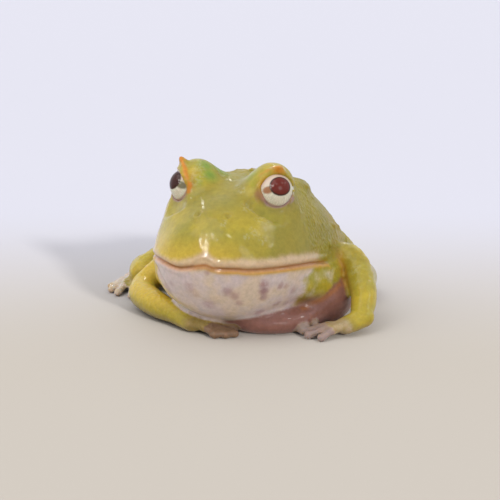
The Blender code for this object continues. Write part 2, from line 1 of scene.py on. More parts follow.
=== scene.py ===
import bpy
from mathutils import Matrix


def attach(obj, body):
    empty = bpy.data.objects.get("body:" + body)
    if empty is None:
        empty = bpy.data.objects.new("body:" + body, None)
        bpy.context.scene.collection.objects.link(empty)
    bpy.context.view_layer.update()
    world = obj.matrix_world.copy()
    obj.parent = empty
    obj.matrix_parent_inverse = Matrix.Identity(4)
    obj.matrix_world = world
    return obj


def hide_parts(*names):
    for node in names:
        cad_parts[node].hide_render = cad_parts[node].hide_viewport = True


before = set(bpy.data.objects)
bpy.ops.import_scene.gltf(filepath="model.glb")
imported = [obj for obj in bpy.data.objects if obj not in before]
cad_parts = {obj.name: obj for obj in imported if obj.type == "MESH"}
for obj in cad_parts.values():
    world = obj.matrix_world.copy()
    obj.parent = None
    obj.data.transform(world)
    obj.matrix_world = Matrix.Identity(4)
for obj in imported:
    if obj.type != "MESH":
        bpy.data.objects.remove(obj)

"""A young albino horned frog, life size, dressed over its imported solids.

The frog faces -Y and +X is its left. Shapes are worked out in millimetres and written to
the meshes in metres. One living skin stands for every solid of flesh, and the two eyes are
pieces of their own.
"""

import logging
import math
from dataclasses import dataclass, field
from enum import Enum

import bmesh
import bpy
import numpy as np
from mathutils import Matrix, Vector, noise

LOG = logging.getLogger("horned_frog")
MM = 0.001
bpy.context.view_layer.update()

Row = tuple[float, ...]


class Side(Enum):
    """The frog's own left or right, as the sign of its X."""

    LEFT = 1
    RIGHT = -1

    @property
    def end(self) -> str:
        """The last letter of the names of this side's pieces."""
        return "l" if self is Side.LEFT else "r"

    def of(self, row: Row) -> Row:
        """A point or stop of the left side, moved to this side."""
        return (row[0] * self.value, *row[1:])


class Mark(Enum):
    """The painted markings. Each is one channel of one of the skin's colour attributes."""

    PALE = ("marks_a", 0)
    SPOT = ("marks_a", 1)
    GREEN = ("marks_a", 2)
    ORANGE = ("marks_b", 0)
    OCHRE = ("marks_b", 1)
    PINK = ("marks_b", 2)
    CREASE = ("marks_c", 0)
    BLOTCH = ("marks_c", 1)
    SMOOTH = ("marks_c", 2)
    WARM = ("marks_d", 0)
    DULL = ("marks_d", 1)
    WET = ("marks_d", 2)
    LIP = ("marks_e", 0)
    MAUVE = ("marks_e", 1)
    LINE = ("marks_e", 2)


def smoothstep(value: np.ndarray, start: float, end: float) -> np.ndarray:
    """A soft step from 0 at start to 1 at end, either way round."""
    t = np.clip((value - start) / (end - start), 0.0, 1.0)
    return t * t * (3 - 2 * t)


def bell(value: np.ndarray, width: float) -> np.ndarray:
    """A soft bump that is 1 at zero and falls off over a width."""
    return np.exp(-((value / width) ** 2))


def smooth_line(stops: list[Row], steps: int) -> list[Row]:
    """A Catmull-Rom curve through rows of numbers.

    Args:
        stops: The rows that the curve passes through.
        steps: The number of rows made for each span.

    Returns:
        The rows along the curve, the last stop included.
    """
    rows = []
    last = len(stops) - 1
    for i in range(last):
        near = (stops[max(i - 1, 0)], stops[i], stops[i + 1], stops[min(i + 2, last)])
        for k in range(steps):
            t = k / steps
            rows.append(tuple(
                b + 0.5 * t * (c - a + t * (2 * a - 5 * b + 4 * c - d + t * (3 * (b - c) + d - a)))
                for a, b, c, d in zip(*near)
            ))
    rows.append(tuple(stops[-1]))
    return rows


def mesh_object(name: str, points: list, faces: list) -> bpy.types.Object:
    """A mesh object of points in millimetres, linked to the scene."""
    mesh = bpy.data.meshes.new(name)
    mesh.from_pydata([Vector(p) * MM for p in points], [], faces)
    obj = bpy.data.objects.new(name, mesh)
    bpy.context.scene.collection.objects.link(obj)
    return obj


def face_outwards(obj: bpy.types.Object) -> bpy.types.Object:
    """Turns every face of a closed mesh outwards, and gives the object back."""
    work = bmesh.new()
    work.from_mesh(obj.data)
    bmesh.ops.recalc_face_normals(work, faces=work.faces)
    work.to_mesh(obj.data)
    work.free()
    return obj


def skin_rings(name: str, rings: list[list], start: Vector, end: Vector) -> bpy.types.Object:
    """A closed surface over rings of equally many points.

    Args:
        name: The object's name.
        rings: The rings, in order along the form.
        start: The point that closes the first ring.
        end: The point that closes the last ring.

    Returns:
        The new object, its faces turned outwards.
    """
    sides = len(rings[0])
    points = [p for ring in rings for p in ring] + [start, end]
    first, last = len(points) - 2, len(points) - 1
    faces = []
    for r in range(len(rings) - 1):
        for s in range(sides):
            a, b = r * sides + s, r * sides + (s + 1) % sides
            faces.append((a, b, b + sides, a + sides))
    tail = (len(rings) - 1) * sides
    for s in range(sides):
        faces.append((first, (s + 1) % sides, s))
        faces.append((last, tail + s, tail + (s + 1) % sides))
    return face_outwards(mesh_object(name, points, faces))


def tube(name: str, stops: list[Row], sides: int = 20, steps: int = 5) -> bpy.types.Object:
    """An oval tube along a smooth line, with round ends.

    Args:
        name: The object's name.
        stops: Rows of x, y, z, half thickness sideways and half thickness upwards.
        sides: The number of points round the tube.
        steps: The number of rings for each span of the line.

    Returns:
        The closed tube.
    """
    line = smooth_line(stops, steps)
    centres = [Vector(row[:3]) for row in line]
    last = len(line) - 1
    aims = [(centres[min(i + 1, last)] - centres[max(i - 1, 0)]).normalized() for i in range(last + 1)]
    turns = [math.radians(turn) for turn in (20, 42, 62, 80)]
    plan = [(0, -math.cos(turn), math.sin(turn)) for turn in turns]
    plan += [(i, 0.0, 1.0) for i in range(last + 1)]
    plan += [(last, math.cos(turn), math.sin(turn)) for turn in reversed(turns)]
    rings = []
    for i, along, scale in plan:
        wide, high = line[i][3], line[i][4]
        side = aims[i].cross(Vector((0, 0, 1)))
        side = side.normalized() if side.length > 0.2 else Vector((1, 0, 0))
        rise = side.cross(aims[i])
        centre = centres[i] + aims[i] * along * min(wide, high)
        ring = []
        for s in range(sides):
            angle = 2 * math.pi * s / sides
            ring.append(centre + (side * math.cos(angle) * wide + rise * math.sin(angle) * high) * scale)
        rings.append(ring)
    start = centres[0] - aims[0] * min(line[0][3:5])
    end = centres[-1] + aims[-1] * min(line[-1][3:5])
    return skin_rings(name, rings, start, end)


def lump(name: str, centre: Row, radii: Row) -> bpy.types.Object:
    """A round lump with three radii about its centre."""
    work = bmesh.new()
    bmesh.ops.create_uvsphere(work, u_segments=36, v_segments=24, radius=1.0)
    obj = mesh_object(name, [], [])
    work.to_mesh(obj.data)
    work.free()
    size = Matrix.Diagonal((*(r * MM for r in radii), 1.0))
    obj.data.transform(Matrix.Translation(Vector(centre) * MM) @ size)
    return obj


def remove(*objects: bpy.types.Object) -> None:
    """Takes helper objects out of the scene."""
    for obj in objects:
        bpy.data.objects.remove(obj)


def apply_modifiers(obj: bpy.types.Object) -> None:
    """Makes the shape that the modifiers give the object its own."""
    made = bpy.data.meshes.new_from_object(obj.evaluated_get(bpy.context.evaluated_depsgraph_get()))
    obj.modifiers.clear()
    obj.data = made


def cut_away(obj: bpy.types.Object, tool: bpy.types.Object) -> None:
    """Cuts one closed object out of another, and removes the cutter."""
    change = obj.modifiers.new("cut", "BOOLEAN")
    change.operation = "DIFFERENCE"
    change.solver = "EXACT"
    change.object = tool
    bpy.context.view_layer.update()
    apply_modifiers(obj)
    remove(tool)


def fused(name: str, lumps: list[bpy.types.Object], voxel: float) -> bpy.types.Object:
    """One closed skin over some overlapping lumps, which are used up.

    Args:
        name: The new object's name.
        lumps: The closed objects to blend.
        voxel: The size of the skin's faces, in millimetres.

    Returns:
        The new object.
    """
    work = bmesh.new()
    for piece in lumps:
        work.from_mesh(piece.data)
    obj = mesh_object(name, [], [])
    work.to_mesh(obj.data)
    work.free()
    remove(*lumps)
    blend = obj.modifiers.new("blend", "REMESH")
    blend.mode = "VOXEL"
    blend.voxel_size = voxel * MM
    apply_modifiers(obj)
    return obj


class Clay:
    """A closed skin that is modelled point by point, in millimetres."""

    def __init__(self, obj: bpy.types.Object) -> None:
        """Takes up an object's mesh."""
        self.obj = obj
        self.read()

    def read(self) -> None:
        """Reads the points, edges and normals of the mesh."""
        mesh = self.obj.data
        count = len(mesh.vertices)
        self.points = np.empty(count * 3)
        mesh.vertices.foreach_get("co", self.points)
        self.points = self.points.reshape(-1, 3) / MM
        self.edges = np.empty(len(mesh.edges) * 2, np.int32)
        mesh.edges.foreach_get("vertices", self.edges)
        self.edges = self.edges.reshape(-1, 2)
        self.read_normals()

    def read_normals(self) -> None:
        """Reads the points' normals."""
        self.normals = np.empty(len(self.points) * 3, np.float32)
        self.obj.data.vertices.foreach_get("normal", self.normals)
        self.normals = self.normals.reshape(-1, 3).astype(float)

    def write(self) -> None:
        """Writes the points back to the mesh, and reads the new normals."""
        self.obj.data.vertices.foreach_set("co", (self.points * MM).astype(np.float32).ravel())
        self.obj.data.update()
        self.read_normals()

    def averages(self, values: np.ndarray) -> np.ndarray:
        """The mean of each point's neighbours.

        Args:
            values: One row of numbers for each point.

        Returns:
            The means, in the same shape.
        """
        count = len(self.points)
        a, b = self.edges.T
        links = np.bincount(a, minlength=count) + np.bincount(b, minlength=count)
        total = np.empty_like(values)
        for k in range(values.shape[1]):
            total[:, k] = np.bincount(a, values[b, k], count) + np.bincount(b, values[a, k], count)
        return total / np.maximum(links, 1)[:, None]

    def relax(self, rounds: int, hold: bool = True) -> None:
        """Smooths the skin.

        Args:
            rounds: How many times.
            hold: Whether thin forms keep their thickness.
        """
        for _ in range(rounds):
            for factor in (0.5, -0.52) if hold else (0.5,):
                self.points += factor * (self.averages(self.points) - self.points)
        self.write()

    def soften(self, rounds: int, share: np.ndarray) -> None:
        """Smooths a part of the skin, where the share of each point is over 0."""
        for _ in range(rounds):
            self.points += (0.8 * share)[:, None] * (self.averages(self.points) - self.points)
        self.write()

    def refine(self, where: np.ndarray) -> None:
        """Halves the faces whose points are all chosen by a mask."""
        work = bmesh.new()
        work.from_mesh(self.obj.data)
        work.verts.ensure_lookup_table()
        edges = [e for e in work.edges if where[e.verts[0].index] and where[e.verts[1].index]]
        bmesh.ops.subdivide_edges(work, edges=edges, cuts=1, use_grid_fill=True)
        work.to_mesh(self.obj.data)
        work.free()
        self.read()

    def fill(self, rounds: int, share: np.ndarray) -> None:
        """Fills the hollows, and leaves what stands out as it is.

        Args:
            rounds: How many times.
            share: How much each point may move, from 0 to 1.
        """
        for k in range(rounds):
            pull = ((self.averages(self.points) - self.points) * self.normals).sum(1)
            self.points += self.normals * (np.maximum(pull, 0.0) * share)[:, None]
            if k % 8 == 7:
                self.write()
        self.write()

    def push(self, heights: np.ndarray) -> None:
        """Moves the points along their normals."""
        self.points += self.normals * heights[:, None]
        self.write()

    def from_line(self, line: list[Row]) -> tuple[np.ndarray, np.ndarray, np.ndarray]:
        """How far every point is from a line.

        Args:
            line: Points of the line, with a half thickness in the fourth place where it has one.

        Returns:
            The distances, the share of the way along the line, and the line's thickness there.
        """
        best = np.full(len(self.points), 1e9)
        share = np.zeros(len(self.points))
        thick = np.zeros(len(self.points))
        spans = len(line) - 1
        for i in range(spans):
            a, b = np.array(line[i], float), np.array(line[i + 1], float)
            aim = b[:3] - a[:3]
            t = np.clip((self.points - a[:3]) @ aim / max(aim @ aim, 1e-9), 0.0, 1.0)
            gap = np.linalg.norm(self.points - a[:3] - t[:, None] * aim, axis=1)
            nearer = gap < best
            best[nearer] = gap[nearer]
            share[nearer] = (i + t[nearer]) / spans
            if len(a) > 3:
                thick[nearer] = (a[3] + t * (b[3] - a[3]))[nearer]
        return best, share, thick

    def from_point(self, at: Row) -> np.ndarray:
        """How far every point is from a place."""
        return np.linalg.norm(self.points - np.array(at[:3], float), axis=1)

    def grain(self, size: float, seed: float) -> np.ndarray:
        """Soft random values from -1 to 1 over the skin, with features of a size."""
        shift = Vector((seed, -seed, 2 * seed))
        return np.array([noise.noise(Vector(p) / size + shift) for p in self.points])


@dataclass
class Trunk:
    """The body from the snout to the vent, as stations along its length."""

    stations: list[Row] = field(default_factory=lambda: [
        (-38.4, 0.0, 17.6, 17.6, 17.6, 2.2, 2.0),
        (-38.0, 4.4, 17.6, 21.6, 14.4, 2.2, 2.0),
        (-36.6, 9.0, 17.4, 25.6, 10.4, 2.1, 2.0),
        (-33.6, 12.9, 17.0, 28.9, 6.4, 2.1, 2.0),
        (-29.0, 16.3, 16.6, 31.3, 3.6, 2.2, 2.0),
        (-23.5, 18.6, 16.0, 33.1, 2.0, 2.35, 2.0),
        (-17.0, 20.0, 15.2, 34.7, 1.0, 2.4, 2.0),
        (-10.0, 20.5, 14.4, 35.5, 0.0, 2.3, 2.1),
        (-3.0, 21.0, 12.6, 35.1, -1.1, 2.0, 2.8),
        (5.0, 22.0, 9.9, 34.1, -1.1, 1.74, 3.1),
        (13.0, 22.4, 9.0, 31.6, -1.1, 1.66, 3.0),
        (21.0, 20.8, 8.7, 27.5, -1.1, 1.7, 2.8),
        (28.5, 17.0, 8.6, 21.3, -0.6, 1.85, 2.4),
        (34.5, 11.6, 8.6, 15.8, 1.8, 2.0, 2.1),
        (38.4, 5.6, 8.8, 12.0, 5.4, 2.0, 2.0),
        (39.6, 0.0, 9.0, 9.0, 9.0, 2.0, 2.0),
    ])
    chest: Row = (8.0, -12.8, 2.8)
    chest_radii: Row = (13.5, 16.0, 4.6)
    armpit: Row = (16.6, -6.8, 5.2)
    armpit_radii: Row = (9.2, 9.6, 6.8)
    bend: float = 10.0
    bend_from: float = -8.0
    bend_to: float = 8.0
    ring_points: int = 96

    def bend_at(self, y: float) -> float:
        """How far the body is bent to the right at a place along it."""
        if y <= self.bend_from:
            return 0.0
        slope = math.tan(math.radians(self.bend))
        span = self.bend_to - self.bend_from
        reach = min(y, self.bend_to) - self.bend_from
        return -slope * (reach * reach / (2 * span) + max(0.0, y - self.bend_to))

    def point(self, row: Row, angle: float) -> Row:
        """A point of the outline at a station, by its angle from the left side upwards."""
        y, half, middle, top, bottom, square_up, square_down = row
        c, s = math.cos(angle), math.sin(angle)
        power = 2.0 / (square_up if s > 0 else square_down)
        x = math.copysign(abs(c) ** power, c) * half
        reach = (top - middle) if s > 0 else (middle - bottom)
        return (x + self.bend_at(y), y, middle + math.copysign(abs(s) ** power, s) * reach)

    def body(self) -> bpy.types.Object:
        """The plain form of the body, lofted over its stations."""
        rows = smooth_line(self.stations, 10)
        rings = []
        for row in rows[1:-1]:
            rings.append([
                self.point(row, 2 * math.pi * k / self.ring_points) for k in range(self.ring_points)
            ])
        ends = [(self.bend_at(row[0]), row[0], row[2]) for row in (rows[0], rows[-1])]
        return skin_rings("body", rings, Vector(ends[0]), Vector(ends[1]))

    def lumps(self) -> list[bpy.types.Object]:
        """The body, the soft chest that lies between the arms, and the fold at the left armpit."""
        chest = lump("chest", self.chest, self.chest_radii)
        return [self.body(), chest, lump("armpit", self.armpit, self.armpit_radii)]

    def chest_share(self, points: np.ndarray) -> np.ndarray:
        """1 where points are on the chest or the armpit's fold, and 0 elsewhere."""
        near = np.full(len(points), 9.0)
        for at, radii in ((self.chest, self.chest_radii), (self.armpit, self.armpit_radii)):
            near = np.minimum(near, np.linalg.norm((points - np.array(at)) / np.array(radii), axis=1))
        return smoothstep(near, 1.13, 1.04)

    def level(self, points: np.ndarray) -> np.ndarray:
        """How far out points are from the trunk's axis.

        Args:
            points: The points, in millimetres.

        Returns:
            1 on the plain trunk's surface, less inside it and more outside.
        """
        rows = np.array(smooth_line(self.stations, 10))
        order = np.argsort(rows[:, 0])
        rows = rows[order]
        y = np.clip(points[:, 1], rows[0, 0], rows[-1, 0])
        half, middle, top, bottom = (np.interp(y, rows[:, 0], rows[:, k]) for k in (1, 2, 3, 4))
        bend = np.array([self.bend_at(v) for v in y])
        up = points[:, 2] - middle
        reach = np.where(up > 0, top - middle, middle - bottom)
        x = (points[:, 0] - bend) / np.maximum(half, 0.5)
        return np.hypot(x, up / np.maximum(reach, 0.5))


@dataclass
class Mouth:
    """The line of the mouth, by the angle round the head from its front to the left."""

    heights: list[Row] = field(default_factory=lambda: [
        (-100, 14.6), (-83, 15.4), (-61, 16.7), (-46, 17.4), (-34, 17.9), (-28, 18.0), (-21, 17.7),
        (-14, 17.25), (-9.7, 17.45), (-3, 18.15), (1, 18.45), (4.7, 17.95), (9, 17.85), (15.6, 17.85),
        (20, 17.6), (30, 17.5), (46.5, 17.2), (61.4, 16.65), (83, 15.4), (100, 14.6),
    ])
    band: list[Row] = field(default_factory=lambda: [
        (-100, 2.6), (-61, 2.7), (-46, 2.4), (-28, 1.5), (-18, 1.6), (-11, 2.1), (-6, 2.4), (0, 3.1),
        (4.5, 2.6), (9.3, 2.2), (20, 2.6), (30, 2.4), (44, 2.7), (61, 2.5), (75, 3.0), (100, 2.2),
    ])
    centre_y: float = -10.0
    corner: float = 86.0
    groove: float = 0.5
    groove_width: float = 0.34

    def angles(self, points: np.ndarray) -> np.ndarray:
        """The angle of each point round the head, in degrees from the front to the left."""
        return np.degrees(np.arctan2(points[:, 0], self.centre_y - points[:, 1]))

    def above(self, points: np.ndarray) -> tuple[np.ndarray, np.ndarray]:
        """Where points are by the mouth.

        Args:
            points: The points, in millimetres.

        Returns:
            Their angles round the head, and how far they are above the line of the mouth.
        """
        angles = self.angles(points)
        table = np.array(smooth_line(self.heights, 6))
        return angles, points[:, 2] - np.interp(angles, table[:, 0], table[:, 1])


@dataclass
class Eye:
    """One eye with its lids and its horn. Sizes are for the left side."""

    side: Side
    centre: Row = (10.8, -20.8, 33.1)
    radius: float = 4.3
    gaze: float = 38.0
    gaze_rise: float = 25.0
    cornea_rise: float = 0.32
    cornea_reach: float = 46.0
    lid_edge: tuple[Row, ...] = (
        (0, 50), (30, 50), (60, 50), (90, 51), (115, 55), (140, 60), (160, 67), (180, 74),
        (202, 82), (222, 80), (245, 76), (265, 73), (285, 67), (310, 58), (335, 52), (360, 50),
    )
    funnel: tuple[Row, ...] = ((-2.0, -6.0), (0.0, 0.0), (0.9, 5.0), (1.9, 13.0), (3.2, 28.0), (5.0, 46.0))
    funnel_flare: float = 0.06
    rim_rise: float = 0.26
    rim_thick: tuple[Row, ...] = (
        (0, 0.34), (40, 0.42), (90, 0.62), (140, 0.62), (180, 0.5), (230, 0.36), (300, 0.34), (360, 0.34),
    )
    horn_root: Row = (11.3, -19.8, 37.0)
    horn_tip: Row = (12.5, -21.9, 40.3)
    horn_thick: Row = (1.9, 1.35, 0.8, 0.35)
    crest: tuple[Row, ...] = ((100, 48, 6.1), (114, 47, 5.5), (136, 48, 5.15), (156, 54, 5.1), (176, 65, 5.1),
                              (196, 74, 5.1))
    crest_thick: float = 0.42
    crest_colour: float = 0.95
    fold_line: tuple[Row, ...] = ((166, 74), (182, 71), (198, 70), (214, 72), (226, 76))

    @property
    def name(self) -> str:
        """The eye's name, which is also its CAD node's."""
        return f"eye_{self.side.end}"

    @property
    def middle(self) -> Vector:
        """The middle of the ball."""
        return Vector(self.side.of(self.centre))

    def axes(self) -> tuple[Vector, Vector, Vector]:
        """The directions to the eye's outer corner, up its face, and out along its gaze."""
        turn, rise = math.radians(self.gaze), math.radians(self.gaze_rise)
        level = math.cos(rise)
        out = Vector((self.side.value * math.sin(turn) * level, -math.cos(turn) * level, math.sin(rise)))
        across = Vector((0, 0, 1)).cross(out).normalized()
        return across * self.side.value, out.cross(across), out

    def at(self, roll: float, angle: float, reach: float) -> Vector:
        """A place round the eye.

        Args:
            roll: Degrees round the gaze, from the outer corner upwards.
            angle: Degrees away from the gaze.
            reach: The distance from the middle of the ball.

        Returns:
            The place, in millimetres.
        """
        outer, up, out = self.axes()
        r, a = math.radians(roll), math.radians(angle)
        round_gaze = outer * math.cos(r) + up * math.sin(r)
        return self.middle + (out * math.cos(a) + round_gaze * math.sin(a)) * reach

    def opening(self, roll: float) -> float:
        """How far from the gaze the lids end, in degrees, at a roll round it."""
        return float(np.interp(roll % 360, *zip(*smooth_line(list(self.lid_edge), 4))))

    def cutter(self) -> bpy.types.Object:
        """The funnel between the lids, which is cut out of the dome of the head."""
        rings = []
        for rise, wider in self.funnel:
            ring = []
            for k in range(60):
                flare = max(self.funnel_flare, math.sin(math.radians(k * 6)))
                angle = min(self.opening(k * 6) + wider * flare, 100.0)
                ring.append(self.at(k * 6, angle, self.radius + rise))
            rings.append(ring)
        inner = self.middle + self.axes()[2] * 1.0
        outer = self.middle + self.axes()[2] * 14.0
        return skin_rings("funnel", rings, inner, outer)

    def rim(self) -> bpy.types.Object:
        """The rolled edge of the lids."""
        stops = []
        for roll in range(0, 375, 15):
            thick = float(np.interp(roll, *zip(*self.rim_thick)))
            place = self.at(roll, self.opening(roll), self.radius + self.rim_rise + thick * 0.35)
            stops.append((*place, thick, thick))
        return tube("rim", stops, sides=12, steps=3)

    def horn(self) -> list[bpy.types.Object]:
        """The small fleshy horn over the eye, and the crest that runs from it to the front corner."""
        root, tip = Vector(self.side.of(self.horn_root)), Vector(self.side.of(self.horn_tip))
        cone = [(*(root.lerp(tip, t)), w, w * 0.8) for t, w in zip((0, 0.5, 0.84, 1.0), self.horn_thick)]
        crest = [(*(tip.lerp(root, 0.18)), 0.4, 0.4)]
        for roll, angle, reach in self.crest:
            crest.append((*self.at(roll, angle, reach), self.crest_thick, self.crest_thick))
        return [tube("horn", cone, 16, 3), tube("crest", crest, 10, 3)]

    def fold(self) -> bpy.types.Object:
        """The fold of the third lid in the front corner."""
        stops = [(*self.at(roll, angle, self.radius + 0.02), 0.5, 0.5) for roll, angle in self.fold_line]
        return tube("fold", stops, 12, 4)

    def polar(self, points: np.ndarray) -> tuple[np.ndarray, np.ndarray, np.ndarray]:
        """Where points are round the eye.

        Args:
            points: The points, in millimetres.

        Returns:
            Their rolls round the gaze from 0 to 360, their angles from it, and their distances.
        """
        outer, up, out = (np.array(axis) for axis in self.axes())
        arms = points - np.array(self.middle)
        reach = np.linalg.norm(arms, axis=1)
        arms = arms / reach[:, None]
        rolls = np.degrees(np.arctan2(arms @ up, arms @ outer)) % 360
        return rolls, np.degrees(np.arccos(np.clip(arms @ out, -1, 1))), reach

    def crest_line(self) -> list[Row]:
        """The points along the crest, from the horn's tip to the front corner."""
        tip = Vector(self.side.of(self.horn_tip))
        return [tuple(tip)] + [tuple(self.at(*row)) for row in self.crest]

    def ball(self) -> bpy.types.Object:
        """The eyeball with its cornea. Its UV map is the angle from the gaze, as seen from in front."""
        rings_count, sides = 72, 96
        rings = []
        for j in range(1, rings_count):
            angle = 180.0 * j / rings_count
            bulge = self.cornea_rise * max(0.0, 1 - (angle / self.cornea_reach) ** 2) ** 1.5
            rings.append([self.at(360.0 * k / sides, angle, self.radius + bulge) for k in range(sides)])
        top = self.middle + self.axes()[2] * (self.radius + self.cornea_rise)
        obj = skin_rings(self.name + "_ball", rings, top, self.middle - self.axes()[2] * self.radius)
        outer, up, out = (np.array(axis) for axis in self.axes())
        uv = obj.data.uv_layers.new(name="gaze")
        points = np.empty(len(obj.data.vertices) * 3)
        obj.data.vertices.foreach_get("co", points)
        arms = points.reshape(-1, 3) / MM - np.array(self.middle)
        arms /= np.linalg.norm(arms, axis=1)[:, None]
        angle = np.arccos(np.clip(arms @ out, -1, 1)) / math.pi
        roll = np.arctan2(arms @ up, arms @ outer)
        flat = np.stack([0.5 + angle * np.cos(roll), 0.5 + angle * np.sin(roll)], axis=1)
        index = np.empty(len(obj.data.loops), np.int32)
        obj.data.loops.foreach_get("vertex_index", index)
        uv.data.foreach_set("uv", flat[index].astype(np.float32).ravel())
        return obj


LEFT_EYE = Eye(
    Side.LEFT, horn_tip=(12.2, -22.4, 38.9), horn_thick=(1.9, 1.5, 1.1, 0.7),
    crest_colour=0.5, crest_thick=0.45,
    crest=((96, 52, 5.9), (112, 58, 5.3), (134, 67, 5.0), (158, 75, 4.9), (182, 81, 4.9)),
)
RIGHT_EYE = Eye(
    Side.RIGHT, gaze=43.0,
    lid_edge=(
        (0, 70), (30, 64), (60, 48), (90, 40), (115, 38), (135, 39), (155, 46), (170, 53),
        (190, 66), (212, 74), (245, 75), (265, 74), (285, 72), (310, 70), (335, 70), (360, 70),
    ),
)


@dataclass
class Head:
    """The forms of the head that the plain trunk lacks. Sizes are for the left side."""

    nostril: Row = (3.5, -32.4, 28.5)
    ear: Row = (18.5, -11.0, 21.6)
    mounds: dict[str, tuple[Row, Row]] = field(default_factory=lambda: {
        "dome": ((9.3, -18.9, 33.2), (5.6, 6.4, 6.4)),
        "dome_foot": ((7.4, -18.2, 31.6), (5.8, 7.2, 6.4)),
        "eye_seat": ((12.4, -19.6, 26.6), (4.8, 6.0, 5.0)),
        "nostril_mound": ((3.5, -32.2, 28.2), (2.0, 1.8, 1.6)),
    })
    swellings: dict[str, list[Row]] = field(default_factory=lambda: {
        "brow": [(9.8, -14.0, 32.2, 3.6, 2.8), (10.2, -8.0, 32.0, 3.8, 2.6), (9.6, -1.0, 30.6, 3.8, 2.6)],
        "jaw_muscle": [(17.4, -20.0, 12.0, 2.8, 3.8), (18.2, -16.0, 10.8, 3.1, 4.2),
                       (19.3, -11.0, 10.8, 3.3, 4.3), (19.6, -5.0, 11.2, 3.4, 4.4)],
    })

    def lumps(self) -> list[bpy.types.Object]:
        """The domes under the eyes, the mounds of the nostrils and the ridges, on both sides."""
        made = []
        for side in Side:
            for name, (at, radii) in self.mounds.items():
                made.append(lump(name, side.of(at), radii))
            for name, stops in self.swellings.items():
                made.append(tube(name, [side.of(stop) for stop in stops]))
        return made


DIGIT_PROFILE = ((0.0, 1.15), (0.3, 1.02), (0.46, 1.06), (0.66, 0.84), (0.84, 0.86), (1.0, 0.98))
DIGIT_HEIGHT = 0.9
DIGIT_ARCH = 0.5
DIGIT_DROP = 1.25
DIGIT_FLATNESS = 0.92


def flat_aim(degrees: float) -> Vector:
    """A level direction, by its angle from +X."""
    return Vector((math.cos(math.radians(degrees)), math.sin(math.radians(degrees)), 0.0))


@dataclass
class Limb:
    """An arm or a leg: two lengths, a flat end, and a fan of digits by their angles and lengths."""

    upper: list[Row]
    lower: list[Row]
    joints: tuple[Row, ...]
    digits: list[Row]
    flat_sizes: tuple[Row, ...] = ()
    digit_thick: float = 1.0
    digit_start: float = 0.0

    def flat_line(self) -> list[Vector]:
        """The middle line of the hand or the foot."""
        raise NotImplementedError

    def flat_stops(self) -> list[Row]:
        """The stops of the hand or the foot, with its half sizes."""
        return [(*at, *size) for at, size in zip(self.flat_line(), self.flat_sizes)]

    def axis(self) -> list[Row]:
        """The line of the whole limb, with its half thickness, for painting."""
        rows = smooth_line(self.upper, 3) + smooth_line(self.lower, 3) + self.flat_stops()
        return [row[:4] for row in rows]

    def rays(self) -> list[list[Row]]:
        """The straight lines of the digits, with their half thickness, for painting."""
        lines = []
        for degrees, length in self.digits:
            tip = Vector(self.joints[-1]) + flat_aim(degrees) * length
            ends = self.joints[-1], (tip.x, tip.y, DIGIT_HEIGHT)
            lines.append([(*end, self.digit_thick) for end in ends])
        return lines

    def fan(self) -> list[bpy.types.Object]:
        """The digits, with rounded tips."""
        made = []
        for degrees, length in self.digits:
            aim = flat_aim(degrees)
            base, reach = Vector(self.joints[-1]) + aim * self.digit_start, length - self.digit_start
            stops = []
            for share, size in DIGIT_PROFILE:
                drop = min(1.0, share * DIGIT_DROP)
                height = base.z + (DIGIT_HEIGHT - base.z) * drop + DIGIT_ARCH * math.sin(math.pi * share)
                at, thick = base + aim * reach * share, self.digit_thick * size
                stops.append((at.x, at.y, height, thick, thick * DIGIT_FLATNESS))
            made.append(tube("digit", stops, sides=14, steps=3))
        return made

    def lumps(self) -> list[bpy.types.Object]:
        """The two lengths, the hand or the foot, and the digits."""
        lengths = (self.upper, self.lower, self.flat_stops())
        return [tube("length", stops) for stops in lengths] + self.fan()


@dataclass
class Arm(Limb):
    """One arm, from the shoulder to the four free fingers. Its joints are the wrist and the palm."""

    flat_sizes: tuple[Row, ...] = ((2.5, 2.4), (2.5, 2.3), (2.8, 2.1), (3.0, 1.8))
    digit_thick: float = 1.12
    digit_start: float = 0.6
    before_wrist: float = 1.6

    def flat_line(self) -> list[Vector]:
        """The line of the hand, from just before the wrist to the middle of the palm."""
        wrist, palm = (Vector(at) for at in self.joints)
        return [wrist + (wrist - palm).normalized() * self.before_wrist, wrist, (wrist + palm) / 2, palm]


